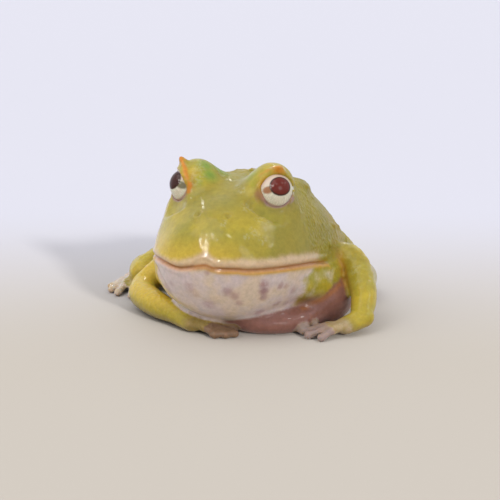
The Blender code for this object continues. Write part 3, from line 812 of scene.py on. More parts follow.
@dataclass
class Leg(Limb):
    """One hind leg, from the hip to the webbed toes. Its joints are the heel, the ankle and the ball."""

    flat_sizes: tuple[Row, ...] = ((2.7, 2.7), (2.5, 2.5), (2.6, 2.3), (3.1, 1.8))
    digit_thick: float = 1.15
    digit_start: float = 0.8
    sole_bend: float = 0.45
    web_reach: float = 0.62
    web_scallop: float = 0.28
    web_height: float = 1.0
    web_thick: float = 0.42
    spade_shift: Row = (3.0, 1.6, -0.6)
    spade_radii: Row = (1.5, 2.5, 1.3)

    def flat_line(self) -> list[Vector]:
        """The line of the foot, from the heel to the ball."""
        heel, ankle, ball = (Vector(at) for at in self.joints)
        return [heel, heel * (1 - self.sole_bend) + ankle * self.sole_bend, ankle, ball]

    def web(self) -> bpy.types.Object:
        """The skin between the toes: a thin fan with scalloped edges."""
        base = Vector(self.joints[-1])
        tips = [base + flat_aim(turn) * length * self.web_reach for turn, length in self.digits]
        edge = [base]
        for a, b in zip(tips, tips[1:]):
            edge += [a, (a + b) / 2 * (1 - self.web_scallop) + base * self.web_scallop]
        edge.append(tips[-1])
        top = [(p.x, p.y, self.web_height + self.web_thick) for p in edge]
        low = [(p.x, p.y, self.web_height - self.web_thick) for p in edge]
        count = len(edge)
        faces = []
        for i in range(1, count - 1):
            faces.append((0, i, i + 1))
            faces.append((count, count + i + 1, count + i))
        for i in range(count):
            j = (i + 1) % count
            faces.append((j, i, count + i, count + j))
        return face_outwards(mesh_object("web", top + low, faces))

    def lumps(self) -> list[bpy.types.Object]:
        """The lengths of the leg, the foot, the toes, the web and the digging spade."""
        ball, (inward, back, rise) = Vector(self.joints[-1]), self.spade_shift
        made = super().lumps() + [self.web()]
        spade = ball + Vector((-inward if ball.x > 0 else inward, back, rise))
        return made + [lump("spade", spade, self.spade_radii)]


LEFT_ARM = Arm(
    upper=[(14.0, -1.0, 13.0, 5.0, 5.4), (18.6, -1.6, 14.2, 4.1, 4.3), (23.6, -2.4, 14.4, 3.5, 3.5),
           (25.8, -3.4, 12.8, 3.3, 3.3)],
    lower=[(25.4, -2.9, 13.2, 3.2, 3.2), (27.6, -6.0, 10.4, 3.3, 3.3), (29.6, -10.6, 7.0, 3.1, 3.1),
           (30.2, -15.0, 4.0, 2.6, 2.5)],
    joints=((30.0, -16.4, 3.2), (27.4, -19.6, 2.1)),
    digits=[(243.0, 7.6), (220.0, 9.0), (198.0, 9.6), (174.0, 7.8)],
)
RIGHT_ARM = Arm(
    upper=[(-14.0, -1.5, 12.5, 5.0, 5.4), (-19.6, -3.6, 11.2, 4.1, 4.4), (-25.4, -6.6, 7.6, 3.6, 3.6),
           (-28.0, -9.4, 4.8, 3.4, 3.4)],
    lower=[(-27.8, -8.8, 5.0, 3.3, 3.3), (-26.0, -14.4, 4.1, 3.5, 3.4), (-19.4, -20.8, 3.6, 3.3, 3.1),
           (-11.6, -25.6, 2.9, 2.6, 2.4)],
    joints=((-10.4, -26.4, 2.6), (-6.0, -28.6, 1.9)),
    digits=[(-31.0, 7.4), (-19.0, 9.2), (-8.0, 10.4), (5.0, 8.8)],
)
RIGHT_LEG = Leg(
    upper=[(-12.0, 27.0, 12.0, 6.0, 6.6), (-19.0, 21.0, 11.0, 6.4, 6.8), (-27.4, 12.0, 8.0, 5.6, 6.0),
           (-33.0, 5.6, 5.6, 4.4, 4.4)],
    lower=[(-33.6, 3.6, 4.8, 4.0, 4.0), (-35.6, 8.6, 4.7, 4.2, 4.2), (-33.6, 16.8, 4.7, 4.3, 4.2),
           (-28.4, 25.6, 4.0, 3.0, 3.3)],
    joints=((-28.2, 27.2, 3.2), (-36.4, 18.8, 2.5), (-39.6, 9.0, 1.9)),
    digits=[(-116.0, 7.6), (-100.0, 10.0), (-84.0, 12.6), (-67.0, 15.6), (-48.0, 11.0)],
)
LEFT_LEG = Leg(
    upper=[(5.0, 27.5, 11.0, 6.0, 6.4), (10.8, 22.4, 10.4, 6.2, 6.6), (16.6, 15.0, 8.6, 5.6, 6.0),
           (20.4, 8.6, 7.4, 4.4, 4.6)],
    lower=[(20.8, 6.8, 6.6, 3.8, 4.2), (22.4, 11.0, 5.6, 4.0, 4.3), (20.8, 19.2, 5.0, 4.1, 4.2),
           (16.2, 27.6, 4.2, 3.0, 3.4)],
    joints=((16.0, 29.2, 3.4), (20.6, 24.4, 2.6), (22.4, 17.6, 1.9)),
    digits=[(-52.0, 5.4), (-63.0, 7.6), (-74.0, 10.0), (-85.0, 11.6), (-98.0, 9.2)],
)


class Graph:
    """A short hand for building the nodes of a tree."""

    def __init__(self, tree: bpy.types.NodeTree) -> None:
        """Takes up a node tree."""
        self.tree = tree

    def add(self, kind: str, modes: dict[str, str] | None = None, **inputs: object) -> bpy.types.Node:
        """Adds a node and sets or links its inputs.

        Args:
            kind: The node's type.
            modes: The node's own settings.
            inputs: Values or output sockets, by the input's name with underscores for spaces, or
                by the letter i and its number.

        Returns:
            The node.
        """
        node = self.tree.nodes.new(kind)
        for key, value in (modes or {}).items():
            setattr(node, key, value)
        for key, value in inputs.items():
            if key.startswith("i") and key[1:].isdigit():
                socket = node.inputs[int(key[1:])]
            else:
                socket = node.inputs[key.replace("_", " ")]
            self.put(socket, value)
        return node

    def put(self, socket: bpy.types.NodeSocket, value: object) -> None:
        """Links an output to an input, or sets the input's value."""
        if isinstance(value, bpy.types.NodeSocket):
            self.tree.links.new(value, socket)
        else:
            socket.default_value = value


class Nodes(Graph):
    """A short hand for building a material's nodes."""

    def __init__(self, name: str) -> None:
        """Makes the material with its Principled shader."""
        self.material = bpy.data.materials.new(name)
        self.material.use_nodes = True
        super().__init__(self.material.node_tree)
        self.shader = self.tree.nodes["Principled BSDF"]

    def add(self, kind: str, modes: dict[str, str] | None = None, **inputs: object) -> bpy.types.Node:
        """Adds a shader node, by its type without the first words."""
        return super().add("ShaderNode" + kind, modes, **inputs)

    def math(self, operation: str, a: object, b: object = 0.0) -> bpy.types.NodeSocket:
        """The result of a Math node."""
        return self.add("Math", {"operation": operation}, i0=a, i1=b).outputs[0]

    def times(self, a: object, b: object) -> bpy.types.NodeSocket:
        """One value times another."""
        return self.math("MULTIPLY", a, b)

    def plus(self, a: object, b: object) -> bpy.types.NodeSocket:
        """The sum of two values."""
        return self.math("ADD", a, b)

    def minus(self, a: object, b: object) -> bpy.types.NodeSocket:
        """One value less another."""
        return self.math("SUBTRACT", a, b)

    def wobble(self, value: object, size: float) -> bpy.types.NodeSocket:
        """A noise value made to swing about zero, times a size."""
        return self.times(self.minus(value, 0.5), size)

    def square_sum(self, a: object, b: object) -> bpy.types.NodeSocket:
        """The sum of the squares of two values."""
        return self.plus(self.times(a, a), self.times(b, b))

    def ramp(self, value: object, low: float, high: float) -> bpy.types.NodeSocket:
        """A value's soft step from low to high."""
        modes = {"interpolation_type": "SMOOTHSTEP"}
        return self.add("MapRange", modes, Value=value, From_Min=low, From_Max=high).outputs["Result"]

    def mix(self, share: object, a: object, b: object, blend: str = "MIX") -> bpy.types.NodeSocket:
        """The colour that a Mix node gives."""
        node = self.add("Mix", {"data_type": "RGBA", "blend_type": blend})
        for socket, value in ((node.inputs[0], share), (node.inputs[6], a), (node.inputs[7], b)):
            self.put(socket, (*value, 1.0) if isinstance(value, tuple) and len(value) == 3 else value)
        return node.outputs[2]

    def noise(
        self, where: object, scale: float, detail: float = 3.0, rough: float = 0.55
    ) -> bpy.types.NodeSocket:
        """The value of a Noise Texture."""
        return self.add("TexNoise", Vector=where, Scale=scale, Detail=detail, Roughness=rough).outputs[0]

    def bump(
        self, height: object, distance: float, strength: float, under: object = None
    ) -> bpy.types.NodeSocket:
        """The normal that a Bump node gives, over another one if there is one."""
        node = self.add("Bump", Height=height, Distance=distance, Strength=strength)
        if under is not None:
            self.put(node.inputs["Normal"], under)
        return node.outputs[0]

    def settle(self, **values: object) -> bpy.types.Material:
        """Sets the shader's own sockets, and gives the finished material back."""
        for name, value in values.items():
            self.put(self.shader.inputs[name.replace("_", " ")], value)
        return self.material


@dataclass
class Warts:
    """Warts scattered by Geometry Nodes where the skin has room for them."""

    smallest: float = 0.27
    largest: float = 0.85
    spacing: float = 1.4
    density: float = 150000.0
    rarity: float = 3.2
    seed: int = 7
    room: str = "wart_room"

    def tree(self) -> bpy.types.NodeTree:
        """The node tree, with its sizes and its seed as named inputs."""
        tree = bpy.data.node_groups.new("wart_scatter", "GeometryNodeTree")
        sockets = {
            "Skin": "Geometry", "Smallest": "Float", "Largest": "Float", "Spacing": "Float",
            "Density": "Float", "Seed": "Int", "Finish": "Material",
        }
        for name, kind in sockets.items():
            tree.interface.new_socket(name, in_out="INPUT", socket_type="NodeSocket" + kind)
        tree.interface.new_socket("Warts", in_out="OUTPUT", socket_type="NodeSocketGeometry")
        graph = Graph(tree)
        given = graph.add("NodeGroupInput").outputs
        room = graph.add("GeometryNodeInputNamedAttribute", {"data_type": "FLOAT"}, Name=self.room)
        points = graph.add(
            "GeometryNodeDistributePointsOnFaces", {"distribute_method": "POISSON"}, Mesh=given["Skin"],
            Distance_Min=given["Spacing"], Density_Max=given["Density"],
            Density_Factor=room.outputs["Attribute"], Seed=given["Seed"],
        )
        wart = graph.add("GeometryNodeMeshUVSphere", Segments=10, Rings=7, Radius=1.0)
        chance = graph.add("FunctionNodeRandomValue", {"data_type": "FLOAT"}, Seed=given["Seed"])
        rare = graph.add("ShaderNodeMath", {"operation": "POWER"}, i0=chance.outputs[1], i1=self.rarity)
        size = graph.add(
            "ShaderNodeMapRange", Value=rare.outputs[0], To_Min=given["Smallest"], To_Max=given["Largest"]
        ).outputs["Result"]
        place = graph.add(
            "GeometryNodeInstanceOnPoints", Points=points.outputs["Points"], Instance=wart.outputs["Mesh"],
            Rotation=points.outputs["Rotation"],
            Scale=graph.add("ShaderNodeCombineXYZ", X=size, Y=size, Z=size).outputs[0],
        )
        real = graph.add("GeometryNodeRealizeInstances", i0=place.outputs[0])
        coat = graph.add("GeometryNodeSetMaterial", Geometry=real.outputs[0], Material=given["Finish"])
        graph.add("NodeGroupOutput", i0=coat.outputs[0])
        return tree

    def scatter(self, skin: bpy.types.Object, finish: bpy.types.Material) -> bpy.types.Object:
        """Grows the warts over a skin.

        Args:
            skin: The object to grow them on, with an attribute that says where there is room.
            finish: The material that they carry.

        Returns:
            The warts, as one plain mesh.
        """
        host = skin.copy()
        bpy.context.scene.collection.objects.link(host)
        nodes = host.modifiers.new("warts", "NODES")
        nodes.node_group = self.tree()
        given = {
            "Smallest": self.smallest * MM, "Largest": self.largest * MM, "Spacing": self.spacing * MM,
            "Density": self.density, "Seed": self.seed, "Finish": finish,
        }
        for item in nodes.node_group.interface.items_tree:
            if item.in_out == "INPUT" and item.name in given:
                nodes[item.identifier] = given[item.name]
        bpy.context.view_layer.update()
        apply_modifiers(host)
        host.name = "warts"
        return host


@dataclass(frozen=True)
class SkinFinish:
    """Wet, slightly see-through frog skin. Each marking read from the mesh has the colour of its name."""

    olive: Row = (0.30, 0.262, 0.034)
    yellow: Row = (0.45, 0.345, 0.034)
    green: Row = (0.18, 0.29, 0.035)
    cream: Row = (0.57, 0.455, 0.345)
    lavender: Row = (0.54, 0.45, 0.43)
    spot: Row = (0.30, 0.17, 0.17)
    lip: Row = (0.55, 0.40, 0.265)
    # mauve: the chest's pinkish skin, darkened so that it serves as painted shade
    mauve: Row = (0.245, 0.112, 0.086)
    line: Row = (0.34, 0.13, 0.030)
    orange: Row = (0.56, 0.215, 0.022)
    ochre: Row = (0.44, 0.27, 0.04)
    # pink: darkened so that it also serves as painted shade on the palms and the limbs' undersides
    pink: Row = (0.19, 0.11, 0.08)
    # crease: the front corner's own brown, also used as painted shade in the hollows and the neck's folds
    crease: Row = (0.34, 0.15, 0.05)
    blotch: Row = (0.30, 0.22, 0.03)
    # dull: the crown's, back's and third lid's own duller tone, also used as painted shade on the far cheek
    # and the low right arm
    dull: Row = (0.245, 0.205, 0.030)
    # warm: a yellow that partly stands in for painted light on the lit snout and the right arm
    warm: Row = (0.56, 0.395, 0.045)
    # wet: the pale grey of a painted reflection on the wet places
    wet: Row = (0.50, 0.50, 0.36)
    roughness: float = 0.42
    coat_roughness: float = 0.03
    cloud_scale: float = 110.0
    under_scale: float = 160.0
    wave_scale: float = 420.0
    blot_scale: float = 600.0
    fleck_scale: float = 900.0
    drip_scale: float = 1100.0
    grain_scale: float = 1150.0
    bead_scale: float = 1500.0
    grain_depth: float = 0.00016
    coat_grain_depth: float = 0.00022
    wave_depth: float = 0.0003
    drip_depth: float = 0.00002
    painted_sheen: float = 0.20

    def shares(self, n: Nodes) -> dict[Mark, bpy.types.NodeSocket]:
        """The strength of each marking, read from the mesh."""
        marks = {}
        for mark in Mark:
            if mark.value[0] not in marks:
                node = n.add("Attribute", {"attribute_name": mark.value[0]})
                marks[mark.value[0]] = n.add("SeparateColor", Color=node.outputs["Color"]).outputs
        return {mark: marks[mark.value[0]][mark.value[1]] for mark in Mark}

    def material(self) -> bpy.types.Material:
        """Builds the material."""
        n = Nodes("wet_skin")
        place = n.add("TexCoord").outputs["Object"]
        share = self.shares(n)
        cloud = n.noise(place, self.cloud_scale, 4.0)
        fleck = n.noise(place, self.fleck_scale, 3.0, 0.7)
        colour = n.mix(n.ramp(cloud, 0.36, 0.66), self.olive, self.yellow)
        for mark in (Mark.WARM, Mark.DULL, Mark.BLOTCH, Mark.GREEN):
            colour = n.mix(share[mark], colour, getattr(self, mark.name.lower()))
        under = n.mix(n.ramp(n.noise(place, self.under_scale, 3.0), 0.38, 0.64), self.lavender, self.cream)
        edge = n.plus(share[Mark.PALE], n.wobble(fleck, 0.35))
        colour = n.mix(n.ramp(edge, 0.2, 0.8), colour, under)
        lip = n.plus(share[Mark.LIP], n.wobble(fleck, 0.3))
        colour = n.mix(n.times(n.ramp(lip, 0.05, 0.9), share[Mark.LIP]), colour, self.lip)
        blot = n.times(share[Mark.SPOT], n.ramp(n.noise(place, self.blot_scale, 3.0), 0.15, 0.5))
        share[Mark.SPOT] = blot
        for mark in (Mark.MAUVE, Mark.PINK, Mark.SPOT, Mark.CREASE, Mark.OCHRE, Mark.ORANGE, Mark.LINE):
            colour = n.mix(share[mark], colour, getattr(self, mark.name.lower()))
        beads = n.noise(place, self.bead_scale, 2.0)
        # painted reflection: wet places are tinted towards a pale grey sheen
        painted_sheen = n.times(share[Mark.WET], n.ramp(beads, 0.42, 0.62))
        colour = n.mix(n.times(painted_sheen, self.painted_sheen), colour, self.wet)
        shade = n.add("MapRange", Value=fleck, From_Min=0.3, From_Max=0.7, To_Min=0.88, To_Max=1.1)
        colour = n.mix(1.0, colour, shade.outputs["Result"], "MULTIPLY")
        modes = {"feature": "SMOOTH_F1"}
        cells = n.add("TexVoronoi", modes, Vector=place, Scale=self.grain_scale, Smoothness=0.6)
        rough = n.minus(1.0, n.times(share[Mark.SMOOTH], 0.97))
        rough = n.times(rough, n.minus(1.0, share[Mark.WET]))
        grains = n.times(n.ramp(cells.outputs["Distance"], 0.75, 0.1), rough)
        waves = n.bump(n.noise(place, self.wave_scale, 3.0), self.wave_depth, 0.25)
        beaded = n.bump(n.times(beads, n.plus(share[Mark.WET], 0.04)), self.wave_depth, 0.8)
        streaks = n.add("Mapping", Vector=place, Scale=(1.0, 1.0, 0.2)).outputs[0]
        dripping = n.bump(n.noise(streaks, self.drip_scale, 2.0), self.drip_depth, 1.0, beaded)
        return n.settle(
            Base_Color=colour, Roughness=self.roughness, IOR=1.4, Specular_IOR_Level=0.06,
            Normal=n.bump(grains, self.grain_depth, 1.0, waves),
            Coat_Normal=n.bump(grains, self.coat_grain_depth, 1.0, dripping),
            Coat_Weight=n.minus(0.9, n.times(rough, 0.65)), Coat_IOR=1.33, Coat_Roughness=self.coat_roughness,
            Subsurface_Weight=0.45, Subsurface_Scale=0.0022, Subsurface_Radius=(1.0, 0.55, 0.25),
        )


@dataclass(frozen=True)
class EyeFinish:
    """A wet eye: a dark red pupil in a pale silvery iris, with a rust-brown bar to the front."""

    name: str
    pupil: Row = (0.130, 0.014, 0.007)
    bar: Row = (0.30, 0.115, 0.035)
    pupil_edge: Row = (0.040, 0.012, 0.008)
    silver: Row = (0.76, 0.72, 0.58)
    shade: Row = (0.54, 0.50, 0.38)
    blush: Row = (0.62, 0.45, 0.36)
    white: Row = (0.46, 0.33, 0.25)
    pupil_wide: float = 32.0
    pupil_high: float = 28.0
    iris_reach: float = 66.0
    bar_at: Row = (-42.0, -8.0)
    bar_size: Row = (17.0, 11.0)

    def material(self) -> bpy.types.Material:
        """Builds the material."""
        n = Nodes("wet_eye_" + self.name)
        uv = n.add("UVMap", {"uv_map": "gaze"})
        moved = n.add("Mapping", Vector=uv.outputs[0], Location=(-0.5, -0.5, 0.0))
        apart = n.add("SeparateXYZ", Vector=moved.outputs[0])
        x, y = (n.times(apart.outputs[axis], 180.0) for axis in (0, 1))
        wide, high = n.math("DIVIDE", x, self.pupil_wide), n.math("DIVIDE", y, self.pupil_high)
        hole = n.math("SQRT", n.square_sum(wide, high))
        hole = n.plus(hole, n.wobble(n.noise(moved.outputs[0], 26.0, 3.0), 0.10))
        reach = n.math("SQRT", n.square_sum(x, y))
        roll = n.math("ARCTAN2", y, x)
        spokes = n.add("CombineXYZ", X=n.times(n.math("COSINE", roll), 3.0),
                       Y=n.times(n.math("SINE", roll), 3.0), Z=n.times(reach, 0.012))
        fibres = n.noise(spokes.outputs[0], 7.0, 5.0, 0.7)
        net = n.noise(moved.outputs[0], 70.0, 4.0, 0.7)
        iris = n.mix(n.ramp(fibres, 0.35, 0.7), self.shade, self.silver)
        iris = n.mix(n.times(n.ramp(net, 0.55, 0.75), 0.35), iris, self.shade)
        iris = n.mix(n.times(n.ramp(y, -8.0, 26.0), 0.8), iris, self.blush)
        rows = zip((x, y), self.bar_at, self.bar_size)
        along, across = (n.math("DIVIDE", n.minus(value, at), size) for value, at, size in rows)
        bar = n.plus(n.square_sum(along, across), n.wobble(net, 0.9))
        iris = n.mix(n.times(n.ramp(bar, 1.9, 0.5), 0.9), iris, self.bar)
        colour = n.mix(n.ramp(reach, self.iris_reach - 4, self.iris_reach + 3), iris, self.white)
        colour = n.mix(n.ramp(hole, 1.16, 1.02), colour, self.pupil_edge)
        colour = n.mix(n.ramp(hole, 1.0, 0.84), colour, self.pupil)
        return n.settle(
            Base_Color=colour, Roughness=0.4, Specular_IOR_Level=0.0, Subsurface_Weight=0.12,
            Subsurface_Scale=0.0008, Coat_Weight=1.0, Coat_Roughness=0.015, Coat_IOR=1.34,
        )


@dataclass(frozen=True)
class FloorFinish:
    """The plain pale sheet that the frog sits on, warmer near the camera."""

    near: Row = (0.420, 0.385, 0.336)
    far: Row = (0.505, 0.505, 0.560)
    near_at: float = -0.06
    far_at: float = 0.14
    turn: float = -20.0

    def material(self) -> bpy.types.Material:
        """Builds the material."""
        n = Nodes("pale_floor")
        place = n.add("TexCoord").outputs["Object"]
        turned = n.add("Mapping", Vector=place, Rotation=(0, 0, math.radians(self.turn)))
        along = n.add("SeparateXYZ", Vector=turned.outputs[0]).outputs[1]
        colour = n.mix(n.ramp(along, self.near_at, self.far_at), self.near, self.far)
        return n.settle(Base_Color=colour, Roughness=0.8, Specular_IOR_Level=0.15)


THROAT_SPOTS = [
    ((12.5, -33.3, 13.9), 1.0, 0.85), ((12.3, -32.8, 12.4), 1.1, 0.9), ((12.0, -31.8, 10.7), 0.9, 0.7),
    ((5.2, -36.6, 12.4), 1.2, 0.6), ((6.4, -36.2, 11.5), 1.2, 0.6), ((7.2, -34.8, 9.5), 0.9, 0.45),
    ((15.2, -29.6, 13.1), 0.8, 0.65), ((16.0, -28.0, 12.8), 0.8, 0.6), ((16.8, -25.3, 11.2), 1.0, 0.4),
    ((17.8, -17.8, 9.4), 1.5, 0.55), ((18.2, -20.5, 10.8), 1.1, 0.4), ((-4.0, -37.0, 12.9), 1.3, 0.35),
    ((-2.6, -36.6, 11.1), 0.9, 0.35), ((-11.0, -33.1, 10.9), 1.5, 0.5), ((0.1, -35.5, 8.8), 1.3, 0.4),
    ((9.8, -28.9, 6.3), 1.1, 0.5), ((13.3, -27.4, 8.0), 0.9, 0.45), ((13.2, -20.8, 5.4), 1.1, 0.45),
    ((1.0, -38.2, 17.0), 0.7, 0.6), ((-8.6, -35.4, 13.0), 0.8, 0.3), ((14.6, -24.0, 7.6), 1.0, 0.3),
]
GREEN_PLACES = [
    ((-6.2, -20.4, 38.0), 3.0, 0.9), ((-4.9, -21.8, 36.3), 3.0, 1.0), ((-4.6, -17.0, 36.6), 3.4, 0.85),
    ((-6.8, -24.4, 35.0), 2.2, 0.5), ((5.4, -22.1, 36.7), 2.6, 0.5), ((7.2, -24.5, 35.2), 2.0, 0.4),
    ((4.9, -17.0, 36.4), 3.0, 0.45),
]
# the armpit's crease, where orange painted shade is laid
ARMPIT_LINE = [(22.0, -5.0, 15.5), (23.2, -6.2, 12.5), (24.2, -7.6, 9.0)]
EYE_CORNER = (8.2, -24.6, 32.7)
JAW_LINE = [(23.4, -9.5, 9.6), (22.7, -12.4, 8.5), (20.3, -15.7, 6.9), (17.3, -19.8, 5.5)]
NECK_FOLDS = [
    [(-16.1, -29.3, 17.1), (-13.7, -32.4, 15.0), (-11.4, -34.2, 11.6)],
    [(-18.2, -25.0, 16.0), (-16.6, -28.0, 13.2), (-14.6, -30.6, 9.6)],
    [(-19.6, -20.0, 15.2), (-18.6, -22.6, 11.6), (-16.4, -25.4, 8.4)],
]
# wet places: smoother gloss, beaded bumps and a painted reflection tint
WET_PLACES = [
    ((7.2, -27.8, 30.4), 2.3), ((10.5, -28.8, 28.0), 2.2), ((3.6, -34.6, 27.6), 1.7),
    ((10.0, -32.3, 25.6), 1.8), ((11.9, -32.0, 24.0), 1.8), ((-7.3, -24.0, 35.8), 2.6),
    ((-7.4, -22.4, 37.6), 1.8), ((2.6, -22.8, 33.9), 1.7), ((8.9, -34.2, 24.8), 1.4),
    ((4.2, -24.6, 33.2), 1.3), ((26.9, -7.0, 12.4), 2.0), ((28.2, -9.6, 10.0), 1.8),
]


@dataclass(frozen=True)
class Strengths:
    """How strong the markings are where they are fullest, from 0 to 1."""

    lip: float = 0.9
    mouth_line: float = 0.9
    mouth_orange: float = 0.5
    mouth_ochre: float = 0.95
    cheek: float = 0.28
    cheek_mottle: float = 0.3
    # armpit: strength of the orange painted shade in the armpit's crease
    armpit: float = 0.45
    jaw: float = 0.35
    neck_fold_shade: float = 0.35
    horn_tip: float = 0.75
    lower_lid: float = 0.85
    front_lid: float = 0.5
    third_lid: float = 0.9
    front_corner: float = 0.5
    eye_bag: float = 0.15
    left_palm: float = 0.64
    right_palm_pink_shade: float = 0.92
    pale_palm: float = 0.8
    pale_foot: float = 0.6
    limb_underside_shade: float = 0.4
    shaded_hollow: float = 0.22
    blotch: float = 0.6
    left_limb_gloss: float = 0.85
    right_limb_gloss: float = 0.5
    snout: float = 0.85
    right_arm: float = 0.95
    left_arm: float = 0.2
    far_cheek_shade: float = 0.75
    crown: float = 0.65
    limb_shade: float = 0.3
    back: float = 0.9


class Painter:
    """Works out the markings of a skin, one region after another, and writes them to its mesh."""

    full = Strengths()
    neck: Row = (-4.0, -8.0)
    blot_size: float = 7.0
    blot_shift: Row = (3.0, 1.0, 4.0)

    def __init__(self, skin: "Skin") -> None:
        """Works out where every point of the skin lies."""
        self.skin, self.clay = skin, skin.clay
        self.x, self.y, self.z = self.clay.points.T
        self.up = self.clay.normals[:, 2]
        self.angles, self.above = skin.mouth.above(self.clay.points)
        self.aside = np.abs(self.angles)
        self.ragged, self.broad = self.clay.grain(1.6, 5.0), self.clay.grain(6.0, 9.0)
        self.limb, self.reach = skin.limb_share(skin.trunk.level(self.clay.points))
        self.body = 1 - self.limb
        self.head = self.body * smoothstep(self.y, *self.neck)
        self.marks = {mark: np.zeros(len(self.clay.points)) for mark in Mark}

    def lay(self, mark: Mark, share: np.ndarray) -> None:
        """Adds to a marking where it is stronger than what is there."""
        self.marks[mark] = np.maximum(self.marks[mark], share)

    def stripe(self, line: list[Row], width: float) -> np.ndarray:
        """A soft stripe along a line."""
        return bell(self.clay.from_line(line)[0], width)

    def paint(self) -> None:
        """Paints all the regions, each over those before it, and writes the markings."""
        self.throat_and_belly()
        self.mouth_lines()
        self.chest_and_folds()
        for eye in self.skin.eyes:
            self.round_eye(eye)
        self.spots()
        self.limbs()
        self.back()
        self.gloss()
        self.tints()
        self.write()

    def throat_and_belly(self) -> None:
        """The pale underside, which ends in a ragged edge on the cheeks."""
        edge = 56.0 + 10.0 * smoothstep(self.above, -4.0, -0.5)
        left = smoothstep(self.angles + 5 * self.broad + 2.5 * self.ragged - edge, 9.0, -9.0)
        slant = 1.6 * np.minimum(self.z - 15.0, 0.0)
        right = smoothstep(self.angles + 5 * self.broad - slant, -40.0, -27.0)
        throat = smoothstep(self.above, 0.4, -0.2) * left * right
        mottle = self.full.cheek + self.full.cheek_mottle * self.clay.grain(3.0, 6.1)
        cheek = mottle * smoothstep(self.above, 0.0, -2.0) * (1 - left) * (self.angles > 0)
        low = smoothstep(self.z + 2.0 * self.broad, 9.0, 4.0)
        pale_head = np.where(self.above > 0, 0.0, np.maximum(np.maximum(throat, low), cheek))
        belly = smoothstep(self.z + 1.6 * self.broad, 8.0, 4.0) * smoothstep(self.up, 0.5, -0.1)
        behind = self.body * (1 - smoothstep(self.y, *self.neck))
        self.marks[Mark.PALE] = self.head * pale_head + behind * belly

    def mouth_lines(self) -> None:
        """The lip band, the line of the mouth, and the orange and ochre edges below it."""
        table = np.array(smooth_line(self.skin.mouth.band, 6))
        band = np.interp(self.angles, table[:, 0], table[:, 1])
        band = band * smoothstep(self.aside, 94.0, 66.0) + 0.3 * self.ragged
        lip = smoothstep(self.above, band + 1.4, band - 1.1) * smoothstep(self.aside, 88.0, 62.0)
        self.lay(Mark.LIP, self.full.lip * self.head * lip * (self.above > -0.3))
        corner = self.skin.mouth.corner
        line = self.head * smoothstep(self.aside, corner + 3, corner - 5)
        self.lay(Mark.LINE, self.full.mouth_line * line * bell(self.above - 0.02, 0.40))
        self.lay(Mark.ORANGE, self.full.mouth_orange * line * bell(self.above + 0.40, 0.42))
        ochre = self.full.mouth_ochre * line * bell(self.above + 0.80, 0.46)
        self.lay(Mark.OCHRE, ochre * smoothstep(self.angles, -18.0, 12.0))

    def chest_and_folds(self) -> None:
        """The chest's pink skin darkened into mauve painted shade, with the same painted shade behind it;
        painted shade in the armpit's crease and the neck's folds; and the jaw's orange edge.
        """
        # painted shade: the chest and the low body behind it take the dark mauve of skin in shade
        chest = self.skin.trunk.chest_share(self.clay.points) * smoothstep(self.z, 12.0, 10.0)
        behind = smoothstep(self.y + 0.6 * self.x, -14.0, -9.0) * smoothstep(self.z + self.broad, 9.5, 6.0)
        behind = behind * smoothstep(self.y, 6.0, -2.0)
        self.lay(Mark.MAUVE, self.body * np.maximum(chest, behind))
        # painted shade: orange-brown along the armpit's crease
        self.lay(Mark.ORANGE, self.full.armpit * self.stripe(ARMPIT_LINE, 1.1))
        self.lay(Mark.ORANGE, self.full.jaw * self.stripe(JAW_LINE, 0.6))
        # painted shade: the crease colour darkens the neck's folds
        for line in NECK_FOLDS:
            self.lay(Mark.CREASE, self.full.neck_fold_shade * self.stripe(line, 0.6))

    def round_eye(self, eye: Eye) -> None:
        """The horn and its crest, the edges of the lids and the front corner of an eye."""
        rolls, spans, gap = eye.polar(self.clay.points)
        out = gap - eye.radius
        crest = self.clay.from_line(eye.crest_line())[0]
        self.lay(Mark.ORANGE, eye.crest_colour * smoothstep(crest + 0.3 * self.ragged, 0.8, 0.25))
        tip = self.clay.from_point(eye.side.of(eye.horn_tip))
        self.lay(Mark.ORANGE, self.full.horn_tip * smoothstep(tip + 0.8 * self.ragged, 3.0, 0.5))
        below = smoothstep(np.abs(rolls - 262.0), 88.0, 62.0)
        self.lay(Mark.SPOT, self.full.lower_lid * smoothstep(out, 0.8, 0.25) * below)
        self.lay(Mark.ORANGE, self.full.front_lid * smoothstep(out, 1.5, 0.4) * bell(rolls - 160.0, 26.0))
        fold = [tuple(eye.at(roll, angle, eye.radius + 0.4)) for roll, angle in eye.fold_line]
        self.lay(Mark.DULL, self.full.third_lid * smoothstep(self.clay.from_line(fold)[0], 0.8, 0.4))
        corner = bell(rolls - 196.0, 20.0) * smoothstep(out, 2.0, 0.6) * smoothstep(spans, 100.0, 88.0)
        self.lay(Mark.CREASE, self.full.front_corner * corner)
        self.lay(Mark.PINK, self.full.eye_bag * bell(out - 1.2, 0.9) * bell(rolls - 285.0, 55.0))

    def spots(self) -> None:
        """The green places by the eyes, the spots of the throat, and the dark spot by the left eye."""
        for at, size, strength in GREEN_PLACES:
            gap = self.clay.from_point(at) + 0.8 * self.broad
            self.lay(Mark.GREEN, strength * smoothstep(gap, size * 1.2, 0.0))
        pale = np.clip(self.marks[Mark.PALE], 0, 1)
        for at, size, strength in THROAT_SPOTS:
            gap = self.clay.from_point(at) + 0.4 * self.ragged
            self.lay(Mark.SPOT, strength * smoothstep(gap, size * 1.6, size * 0.4) * pale)
        gap = self.clay.from_point(EYE_CORNER) + 0.3 * self.ragged
        self.lay(Mark.SPOT, self.full.front_corner * smoothstep(gap, 1.5, 0.5))

    def limbs(self) -> None:
        """The undersides of the limbs darkened pink as painted shade, the palms' pink that is partly painted
        shade, and the pale hands and feet.
        """
        hand = smoothstep(self.y, -8.0, -12.0)
        palm = self.limb * hand * smoothstep(self.reach, 0.94, 1.05)
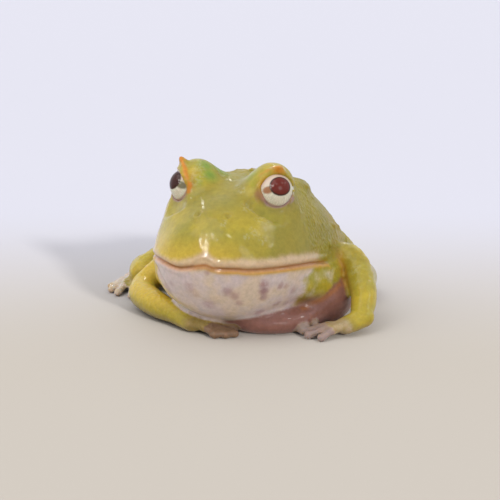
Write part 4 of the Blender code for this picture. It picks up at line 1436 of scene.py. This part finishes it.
        # the palms' pink is partly their own colour and partly painted shade, darkest on the right hand under
        # the chin
        pink = np.where(self.x > 12, self.full.left_palm, self.full.right_palm_pink_shade) * palm
        # painted shade: the downward-facing sides of the limbs take the dark pink
        under = self.full.limb_underside_shade * self.limb * smoothstep(self.up, 0.1, -0.7)
        self.lay(Mark.PINK, np.maximum(pink, under))
        self.lay(Mark.PALE, self.full.pale_palm * palm * (self.x > 12))
        foot = self.limb * (1 - hand) * smoothstep(self.reach, 0.80, 1.0)
        self.lay(Mark.PALE, self.full.pale_foot * foot)

    def back(self) -> None:
        """Painted shade in the hollows, and the faint blotches of the back, alike on both sides."""
        clay = self.clay
        # painted shade: concave places are darkened with the crease colour
        shaded_hollow = ((clay.averages(clay.averages(clay.points)) - clay.points) * clay.normals).sum(1)
        self.lay(Mark.CREASE, self.full.shaded_hollow * smoothstep(shaded_hollow, 0.03, 0.12) * (1 - self.head))
        middle = np.array([self.skin.trunk.bend_at(v) for v in self.y])
        mirror = np.stack([np.abs(self.x - middle), self.y, self.z], axis=1)
        shift = Vector(self.blot_shift)
        blots = np.array([noise.noise(Vector(p) / self.blot_size + shift) for p in mirror])
        back = smoothstep(self.y, -10.0, 2.0) * smoothstep(self.up, -0.3, 0.3) * (1 - self.marks[Mark.PALE])
        self.marks[Mark.BLOTCH] = self.full.blotch * back * smoothstep(blots + 0.1 * self.ragged, 0.08, 0.28)

    def gloss(self) -> None:
        """Where the skin is smooth, and the wettest places."""
        limb_gloss = np.where(self.x < 0, self.full.right_limb_gloss, self.full.left_limb_gloss)
        self.lay(Mark.SMOOTH, self.limb * limb_gloss)
        self.lay(Mark.SMOOTH, self.head * smoothstep(self.above, 3.5, 1.5))
        self.lay(Mark.SMOOTH, self.body * smoothstep(self.y, -17.0, -22.0))
        for at, size in WET_PLACES:
            self.lay(Mark.WET, smoothstep(self.clay.from_point(at) + 0.9 * self.ragged, size, size * 0.35))

    def tints(self) -> None:
        """The warm snout and arms, partly painted light on their lit sides; the far cheek and the low right
        arm dulled as painted shade; and the duller crown and back.
        """
        # the snout's warm yellow is partly its own colour and partly painted light, fading towards the far
        # side
        snout = self.head * smoothstep(self.above, 9.0, 2.0) * smoothstep(self.x, 17.0, 2.0)
        # partly painted light: the right arm is warmer on its upper part
        right_arm = self.full.right_arm * smoothstep(self.z, 2.0, 6.0)
        arm = self.limb * np.where(self.x < 0, right_arm, self.full.left_arm) * smoothstep(self.y, 4.0, -2.0)
        self.lay(Mark.WARM, np.maximum(self.full.snout * snout, arm))
        # painted shade: the cheek away from the key light is dulled
        far = self.head * smoothstep(self.x + 3 * self.broad, 7.0, 18.0) * smoothstep(self.above, -1.0, 1.0)
        self.lay(Mark.DULL, self.full.far_cheek_shade * far)
        eyes = np.minimum(*(self.clay.from_point(eye.middle) for eye in self.skin.eyes))
        crown = self.head * smoothstep(eyes, 5.5, 8.0) * smoothstep(self.z + self.broad, 25.0, 31.0)
        self.lay(Mark.DULL, self.full.crown * crown * smoothstep(np.abs(self.x), 15.0, 8.0))
        # painted shade on the low, front-down part of the right arm
        self.lay(Mark.DULL, self.full.limb_shade * self.limb * smoothstep(self.z, 6.5, 3.0) * (self.x < 0))
        back = self.body * smoothstep(self.y, -14.0, -6.0) * smoothstep(self.z, 8.0, 20.0)
        self.lay(Mark.DULL, self.full.back * back)

    def write(self) -> None:
        """Writes the markings to the mesh's colour attributes."""
        for name in sorted({mark.value[0] for mark in Mark}):
            made = self.clay.obj.data.color_attributes.new(name, "FLOAT_COLOR", "POINT")
            values = np.ones((len(self.clay.points), 4), np.float32)
            for mark in Mark:
                if mark.value[0] == name:
                    values[:, mark.value[1]] = np.clip(self.marks[mark], 0, 1)
            made.data.foreach_set("color", values.ravel())


@dataclass
class Skin:
    """The whole skin of the frog, blended from its lumps, carved and painted."""

    trunk: Trunk
    head: Head
    mouth: Mouth
    eyes: list[Eye]
    limbs: list[Arm | Leg]
    warts: Warts
    trunk_voxel: float = 0.7
    voxel: float = 0.54
    core_rounds: int = 12
    crown_rounds: int = 48
    cheek_rounds: int = 240
    slope_rounds: int = 160
    fine_from_mouth: float = 2.6
    fine_from_eye: float = 8.4
    fine_from_nostril: float = 2.4
    lip_rise: float = 0.30
    chin_rise: float = 0.22
    nostril_depth: float = 0.75
    nostril_rim: float = 0.12
    drum_depth: float = 0.16
    fold_depth: float = 0.32
    swell: float = 0.10
    pores: float = 0.03
    back_grain: float = 0.21

    def build(self, finish: bpy.types.Material) -> bpy.types.Object:
        """Makes the skin.

        Args:
            finish: The material that it carries.

        Returns:
            The finished object.
        """
        core = Clay(fused("core", self.trunk.lumps() + self.head.lumps(), self.trunk_voxel))
        self.soften_head(core)
        self.mark_room(core)
        warts = self.warts.scatter(core.obj, finish)
        for eye in self.eyes:
            cut_away(core.obj, eye.cutter())
        lumps = [core.obj, warts]
        for eye in self.eyes:
            lumps += [eye.rim(), eye.fold()] + eye.horn()
        for limb in self.limbs:
            lumps += limb.lumps()
        self.clay = clay = Clay(fused("skin", lumps, self.voxel))
        clay.relax(3)
        clay.refine(self.fine_places())
        clay.relax(2)
        self.carve()
        self.settle()
        Painter(self).paint()
        clay.obj.data.shade_smooth()
        clay.obj.data.materials.clear()
        clay.obj.data.materials.append(finish)
        return clay.obj

    def soften_head(self, core: Clay) -> None:
        """Smooths the core, fills the head's hollows and softens the slopes below the eyes."""
        core.relax(self.core_rounds, hold=False)
        _, y, z = core.points.T
        head = smoothstep(y, 0.0, -8.0)
        core.fill(self.crown_rounds, head * smoothstep(z, 19.0, 24.0))
        core.fill(self.cheek_rounds, head * smoothstep(z, 19.0, 22.0) * smoothstep(z, 32.5, 29.5))
        x, y, z = np.abs(core.points[:, 0]), *core.points[:, 1:].T
        below_eye = smoothstep(x, 1.0, 6.0) * smoothstep(x, 20.0, 14.0) * smoothstep(y, -37.0, -30.0)
        below_eye = below_eye * smoothstep(y, -20.0, -24.0) * smoothstep(z, 18.0, 26.0)
        core.soften(self.slope_rounds, below_eye * smoothstep(z, 34.5, 31.5))

    def mark_room(self, core: Clay) -> None:
        """Writes where warts may grow: the back and the flanks, few on the head, none below."""
        y = core.points[:, 1]
        room = smoothstep(y, -16.0, 0.0) * smoothstep(core.normals[:, 2], -0.35, 0.35)
        room = np.maximum(room, 0.8 * smoothstep(y, -16.0, -11.0) * smoothstep(core.normals[:, 2], 0.1, 0.6))
        for eye in self.eyes:
            room *= smoothstep(core.from_point(eye.middle), 6.5, 9.0)
        made = core.obj.data.attributes.new(self.warts.room, "FLOAT", "POINT")
        made.data.foreach_set("value", room.astype(np.float32))

    def fine_places(self) -> np.ndarray:
        """Chooses the points round the eyes and the nostrils and along the mouth."""
        _, above = self.mouth.above(self.clay.points)
        front = self.clay.points[:, 1] < -8.0
        chosen = front & (np.abs(above) < self.fine_from_mouth)
        for eye in self.eyes:
            chosen |= self.clay.from_point(eye.middle) < self.fine_from_eye
            chosen |= self.clay.from_point(eye.side.of(self.head.nostril)) < self.fine_from_nostril
        return chosen

    def carve(self) -> None:
        """Carves the mouth, the nostrils, the ear drums and the folds."""
        clay = self.clay
        angles, above = self.mouth.above(clay.points)
        outer = self.trunk.level(clay.points)
        front = smoothstep(np.abs(angles), self.mouth.corner + 6, self.mouth.corner - 4)
        front *= smoothstep(outer, 0.75, 0.86) * smoothstep(outer, 1.22, 1.12)
        lips = self.lip_rise * bell(above - 1.15, 0.75) + self.chin_rise * bell(above + 1.05, 0.65)
        groove = -self.mouth.groove * bell(above, self.mouth.groove_width)
        clay.push(front * (lips + groove))
        heights = np.zeros(len(clay.points))
        for side in Side:
            gap = clay.from_point(side.of(self.head.nostril))
            heights -= self.nostril_depth * bell(gap, 0.55)
            heights += self.nostril_rim * bell(gap - 1.1, 0.5)
            drum = clay.from_point(side.of(self.head.ear))
            heights -= self.drum_depth * bell(drum - 2.3, 0.35)
        for line in NECK_FOLDS:
            heights -= self.fold_depth * bell(clay.from_line(line)[0], 0.5)
        clay.push(heights)
        back = smoothstep(clay.points[:, 1], -18.0, -12.0) * smoothstep(clay.points[:, 2], 6.0, 12.0)
        fine = self.pores * clay.grain(1.8, 8.7)
        clay.push(self.swell * clay.grain(5.0, 3.1) + fine + self.back_grain * back * clay.grain(1.05, 2.3))

    def settle(self) -> None:
        """Rests the frog on the floor: what would lie under it becomes a small flat."""
        self.clay.points[:, 2] = np.maximum(self.clay.points[:, 2], 0.0)
        self.clay.write()

    def limb_share(self, outer: np.ndarray) -> tuple[np.ndarray, np.ndarray]:
        """Which points belong to a limb.

        Args:
            outer: How far out the points are from the trunk's axis.

        Returns:
            1 on a limb and 0 off it, and how far along its limb each point is.
        """
        limb = np.zeros(len(outer))
        reach = np.zeros(len(outer))
        close = np.zeros(len(outer))
        for piece in self.limbs:
            for number, line in enumerate([piece.axis()] + piece.rays()):
                gap, share, thick = self.clay.from_line(line)
                near = smoothstep(gap - thick, 5.5, 1.6)
                reach = np.where(near > limb, share + (number > 0), reach)
                limb = np.maximum(limb, near)
                close = np.maximum(close, smoothstep(gap - thick, 1.3, 0.5))
        free = smoothstep(outer, 1.02, 1.10) * smoothstep(self.clay.points[:, 2], 27.0, 22.0)
        chest = self.trunk.chest_share(self.clay.points)
        return (limb * (1 - chest) + close * chest) * free, reach


WARM_LIGHT, WHITE_LIGHT, COOL_LIGHT = (1.0, 0.98, 0.90), (1.0, 0.99, 0.97), (0.96, 0.99, 1.0)
LAMPS = [
    ("strip_a", (-36.0, 43.0), (-22.0, 10.0), 0.007, 100.0, WARM_LIGHT),
    ("strip_b", (-26.0, 44.0), (-17.0, 32.0), 0.007, 100.0, WARM_LIGHT),
    ("strip_c", (-17.0, 32.0), (-18.0, 8.0), 0.007, 100.0, WARM_LIGHT),
    ("strip_d", (-12.0, 43.0), (-9.0, 28.0), 0.007, 80.0, WARM_LIGHT),
    ("window", (20.0, 52.5), (20.0, 57.5), 0.05, 15.0, COOL_LIGHT),
    ("right", (84.0, 60.0), (91.0, 26.0), 0.006, 40.0, WHITE_LIGHT),
    ("left", (-84.0, 56.0), (-88.0, 44.0), 0.006, 13.0, WHITE_LIGHT),
    ("left_back", (-114.0, 54.0), (-128.0, 40.0), 0.006, 16.0, WHITE_LIGHT),
    ("right_back", (110.0, 46.0), (111.0, 36.0), 0.015, 25.0, WHITE_LIGHT),
    ("back", (-160.0, 32.0), (-167.0, 38.0), 0.02, 40.0, WHITE_LIGHT),
]


SUN_LIGHT, SIDE_LIGHT = (1.0, 0.985, 0.96), (1.0, 0.98, 0.95)
SUNS = [
    ("key", -40.0, 55.0, 50.0, 0.90, SUN_LIGHT),
    ("side", 48.0, 20.0, 28.0, 0.52, SIDE_LIGHT),
    ("shade", 48.0, 20.0, 5.0, 3.0, SIDE_LIGHT),
]


@dataclass
class Studio:
    """The floor, the lights and the camera, with the photograph's viewpoint in millimetres and degrees."""

    target: Row = (4.5, -20.4, 18.7)
    azimuth: float = 20.0
    elevation: float = 12.0
    distance: float = 300.0
    field_of_view: float = 22.08
    lamp_distance: float = 0.6
    lamp_aim: Row = (0.0, -0.01, 0.02)
    floor_reach: float = 9000.0
    floor_drop: float = 0.03
    room: Row = (0.945, 0.95, 1.0)

    def towards(self, azimuth: float, elevation: float) -> Vector:
        """A direction, in degrees from the frog's front to its left and over the floor."""
        a, e = math.radians(azimuth), math.radians(elevation)
        return Vector((math.sin(a) * math.cos(e), -math.cos(a) * math.cos(e), math.sin(e)))

    def lamp(self, name: str, start: Row, end: Row, wide: float, shine: float, colour: Row) -> None:
        """A narrow bright panel that faces the frog and glints in its wet skin.

        Args:
            name: The lamp's name.
            start: Where one end stands: its azimuth from the frog's front to its left, and its height.
            end: Where the other end stands, in the same degrees.
            wide: Its width, in metres.
            shine: Its radiance.
            colour: Its colour.
        """
        a, b = self.towards(*start), self.towards(*end)
        aim, rise = (a + b).normalized(), (b - a).normalized()
        data = bpy.data.lights.new(name, "AREA")
        data.shape = "RECTANGLE"
        data.size, data.size_y = wide, (b - a).length * self.lamp_distance
        data.energy, data.color = shine * math.pi * data.size * data.size_y, colour
        obj = bpy.data.objects.new(name, data)
        obj.location = Vector(self.lamp_aim) + aim * self.lamp_distance
        obj.rotation_mode = "QUATERNION"
        obj.rotation_quaternion = Matrix((rise.cross(aim), rise, aim)).transposed().to_quaternion()
        obj.visible_diffuse = False
        bpy.context.scene.collection.objects.link(obj)

    def sun(
        self, name: str, azimuth: float, elevation: float, spread: float, power: float, colour: Row
    ) -> bpy.types.Object:
        """A wide soft light from far away, as from a bright wall or window.

        Args:
            name: The lamp's name.
            azimuth: Where it stands, in degrees from the frog's front to its left.
            elevation: Its height over the floor, in degrees.
            spread: How wide it looks, in degrees.
            power: Its strength, in watts per square metre.
            colour: Its colour.

        Returns:
            The light.
        """
        data = bpy.data.lights.new(name, "SUN")
        data.angle, data.energy, data.color = math.radians(spread), power, colour
        obj = bpy.data.objects.new(name, data)
        obj.rotation_mode = "QUATERNION"
        obj.rotation_quaternion = (-self.towards(azimuth, elevation)).to_track_quat("-Z", "Y")
        bpy.context.scene.collection.objects.link(obj)
        return obj

    def build(self) -> None:
        """Sets up the whole studio."""
        corners = ((-1, -1), (1, -1), (1, 1), (-1, 1))
        flat = [(x * self.floor_reach, y * self.floor_reach, -self.floor_drop) for x, y in corners]
        floor = mesh_object("floor", flat, [(0, 1, 2, 3)])
        floor.data.materials.append(FloorFinish().material())
        suns = {row[0]: self.sun(*row) for row in SUNS}
        lit = bpy.data.collections.new("lit_by_shade")
        lit.objects.link(floor)
        suns["shade"].light_linking.receiver_collection = lit
        for row in LAMPS:
            self.lamp(*row)
        world = bpy.data.worlds.new("pale_room")
        world.use_nodes = True
        back = world.node_tree.nodes["Background"]
        back.inputs[0].default_value = (*self.room, 1.0)
        back.inputs[1].default_value = 1.0
        bpy.context.scene.world = world
        bpy.context.scene.view_settings.view_transform = "Standard"
        self.camera()

    def camera(self) -> None:
        """Stands the camera where the photograph was taken from."""
        data = bpy.data.cameras.new("camera")
        data.angle = math.radians(self.field_of_view)
        data.clip_start = 0.005
        camera = bpy.data.objects.new("camera", data)
        back = self.towards(self.azimuth, self.elevation)
        camera.location = (Vector(self.target) + back * self.distance) * MM
        camera.rotation_mode = "QUATERNION"
        camera.rotation_quaternion = (-back).to_track_quat("-Z", "Y")
        bpy.context.scene.collection.objects.link(camera)
        bpy.context.scene.camera = camera


def main() -> None:
    """Builds the frog and its studio."""
    logging.basicConfig(level=logging.INFO, format="%(name)s: %(message)s")
    Studio().build()
    eyes = [LEFT_EYE, RIGHT_EYE]
    skin = Skin(Trunk(), Head(), Mouth(), eyes, [LEFT_ARM, RIGHT_ARM, LEFT_LEG, RIGHT_LEG], Warts())
    hide = skin.build(SkinFinish().material())
    hide.name = "skin"
    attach(hide, "root")
    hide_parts(*(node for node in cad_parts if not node.startswith("eye_")))
    LOG.info("skin: %d faces", len(hide.data.polygons))
    finishes = (EyeFinish("left"), EyeFinish("right", pupil=(0.045, 0.012, 0.008), bar=(0.13, 0.115, 0.05)))
    for eye, wet in zip(eyes, finishes):
        ball = eye.ball()
        ball.data.materials.append(wet.material())
        ball.data.shade_smooth()
        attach(ball, "root")
        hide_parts(eye.name)
        LOG.info("%s: %d faces", ball.name, len(ball.data.polygons))


if __name__ == "__main__":
    main()
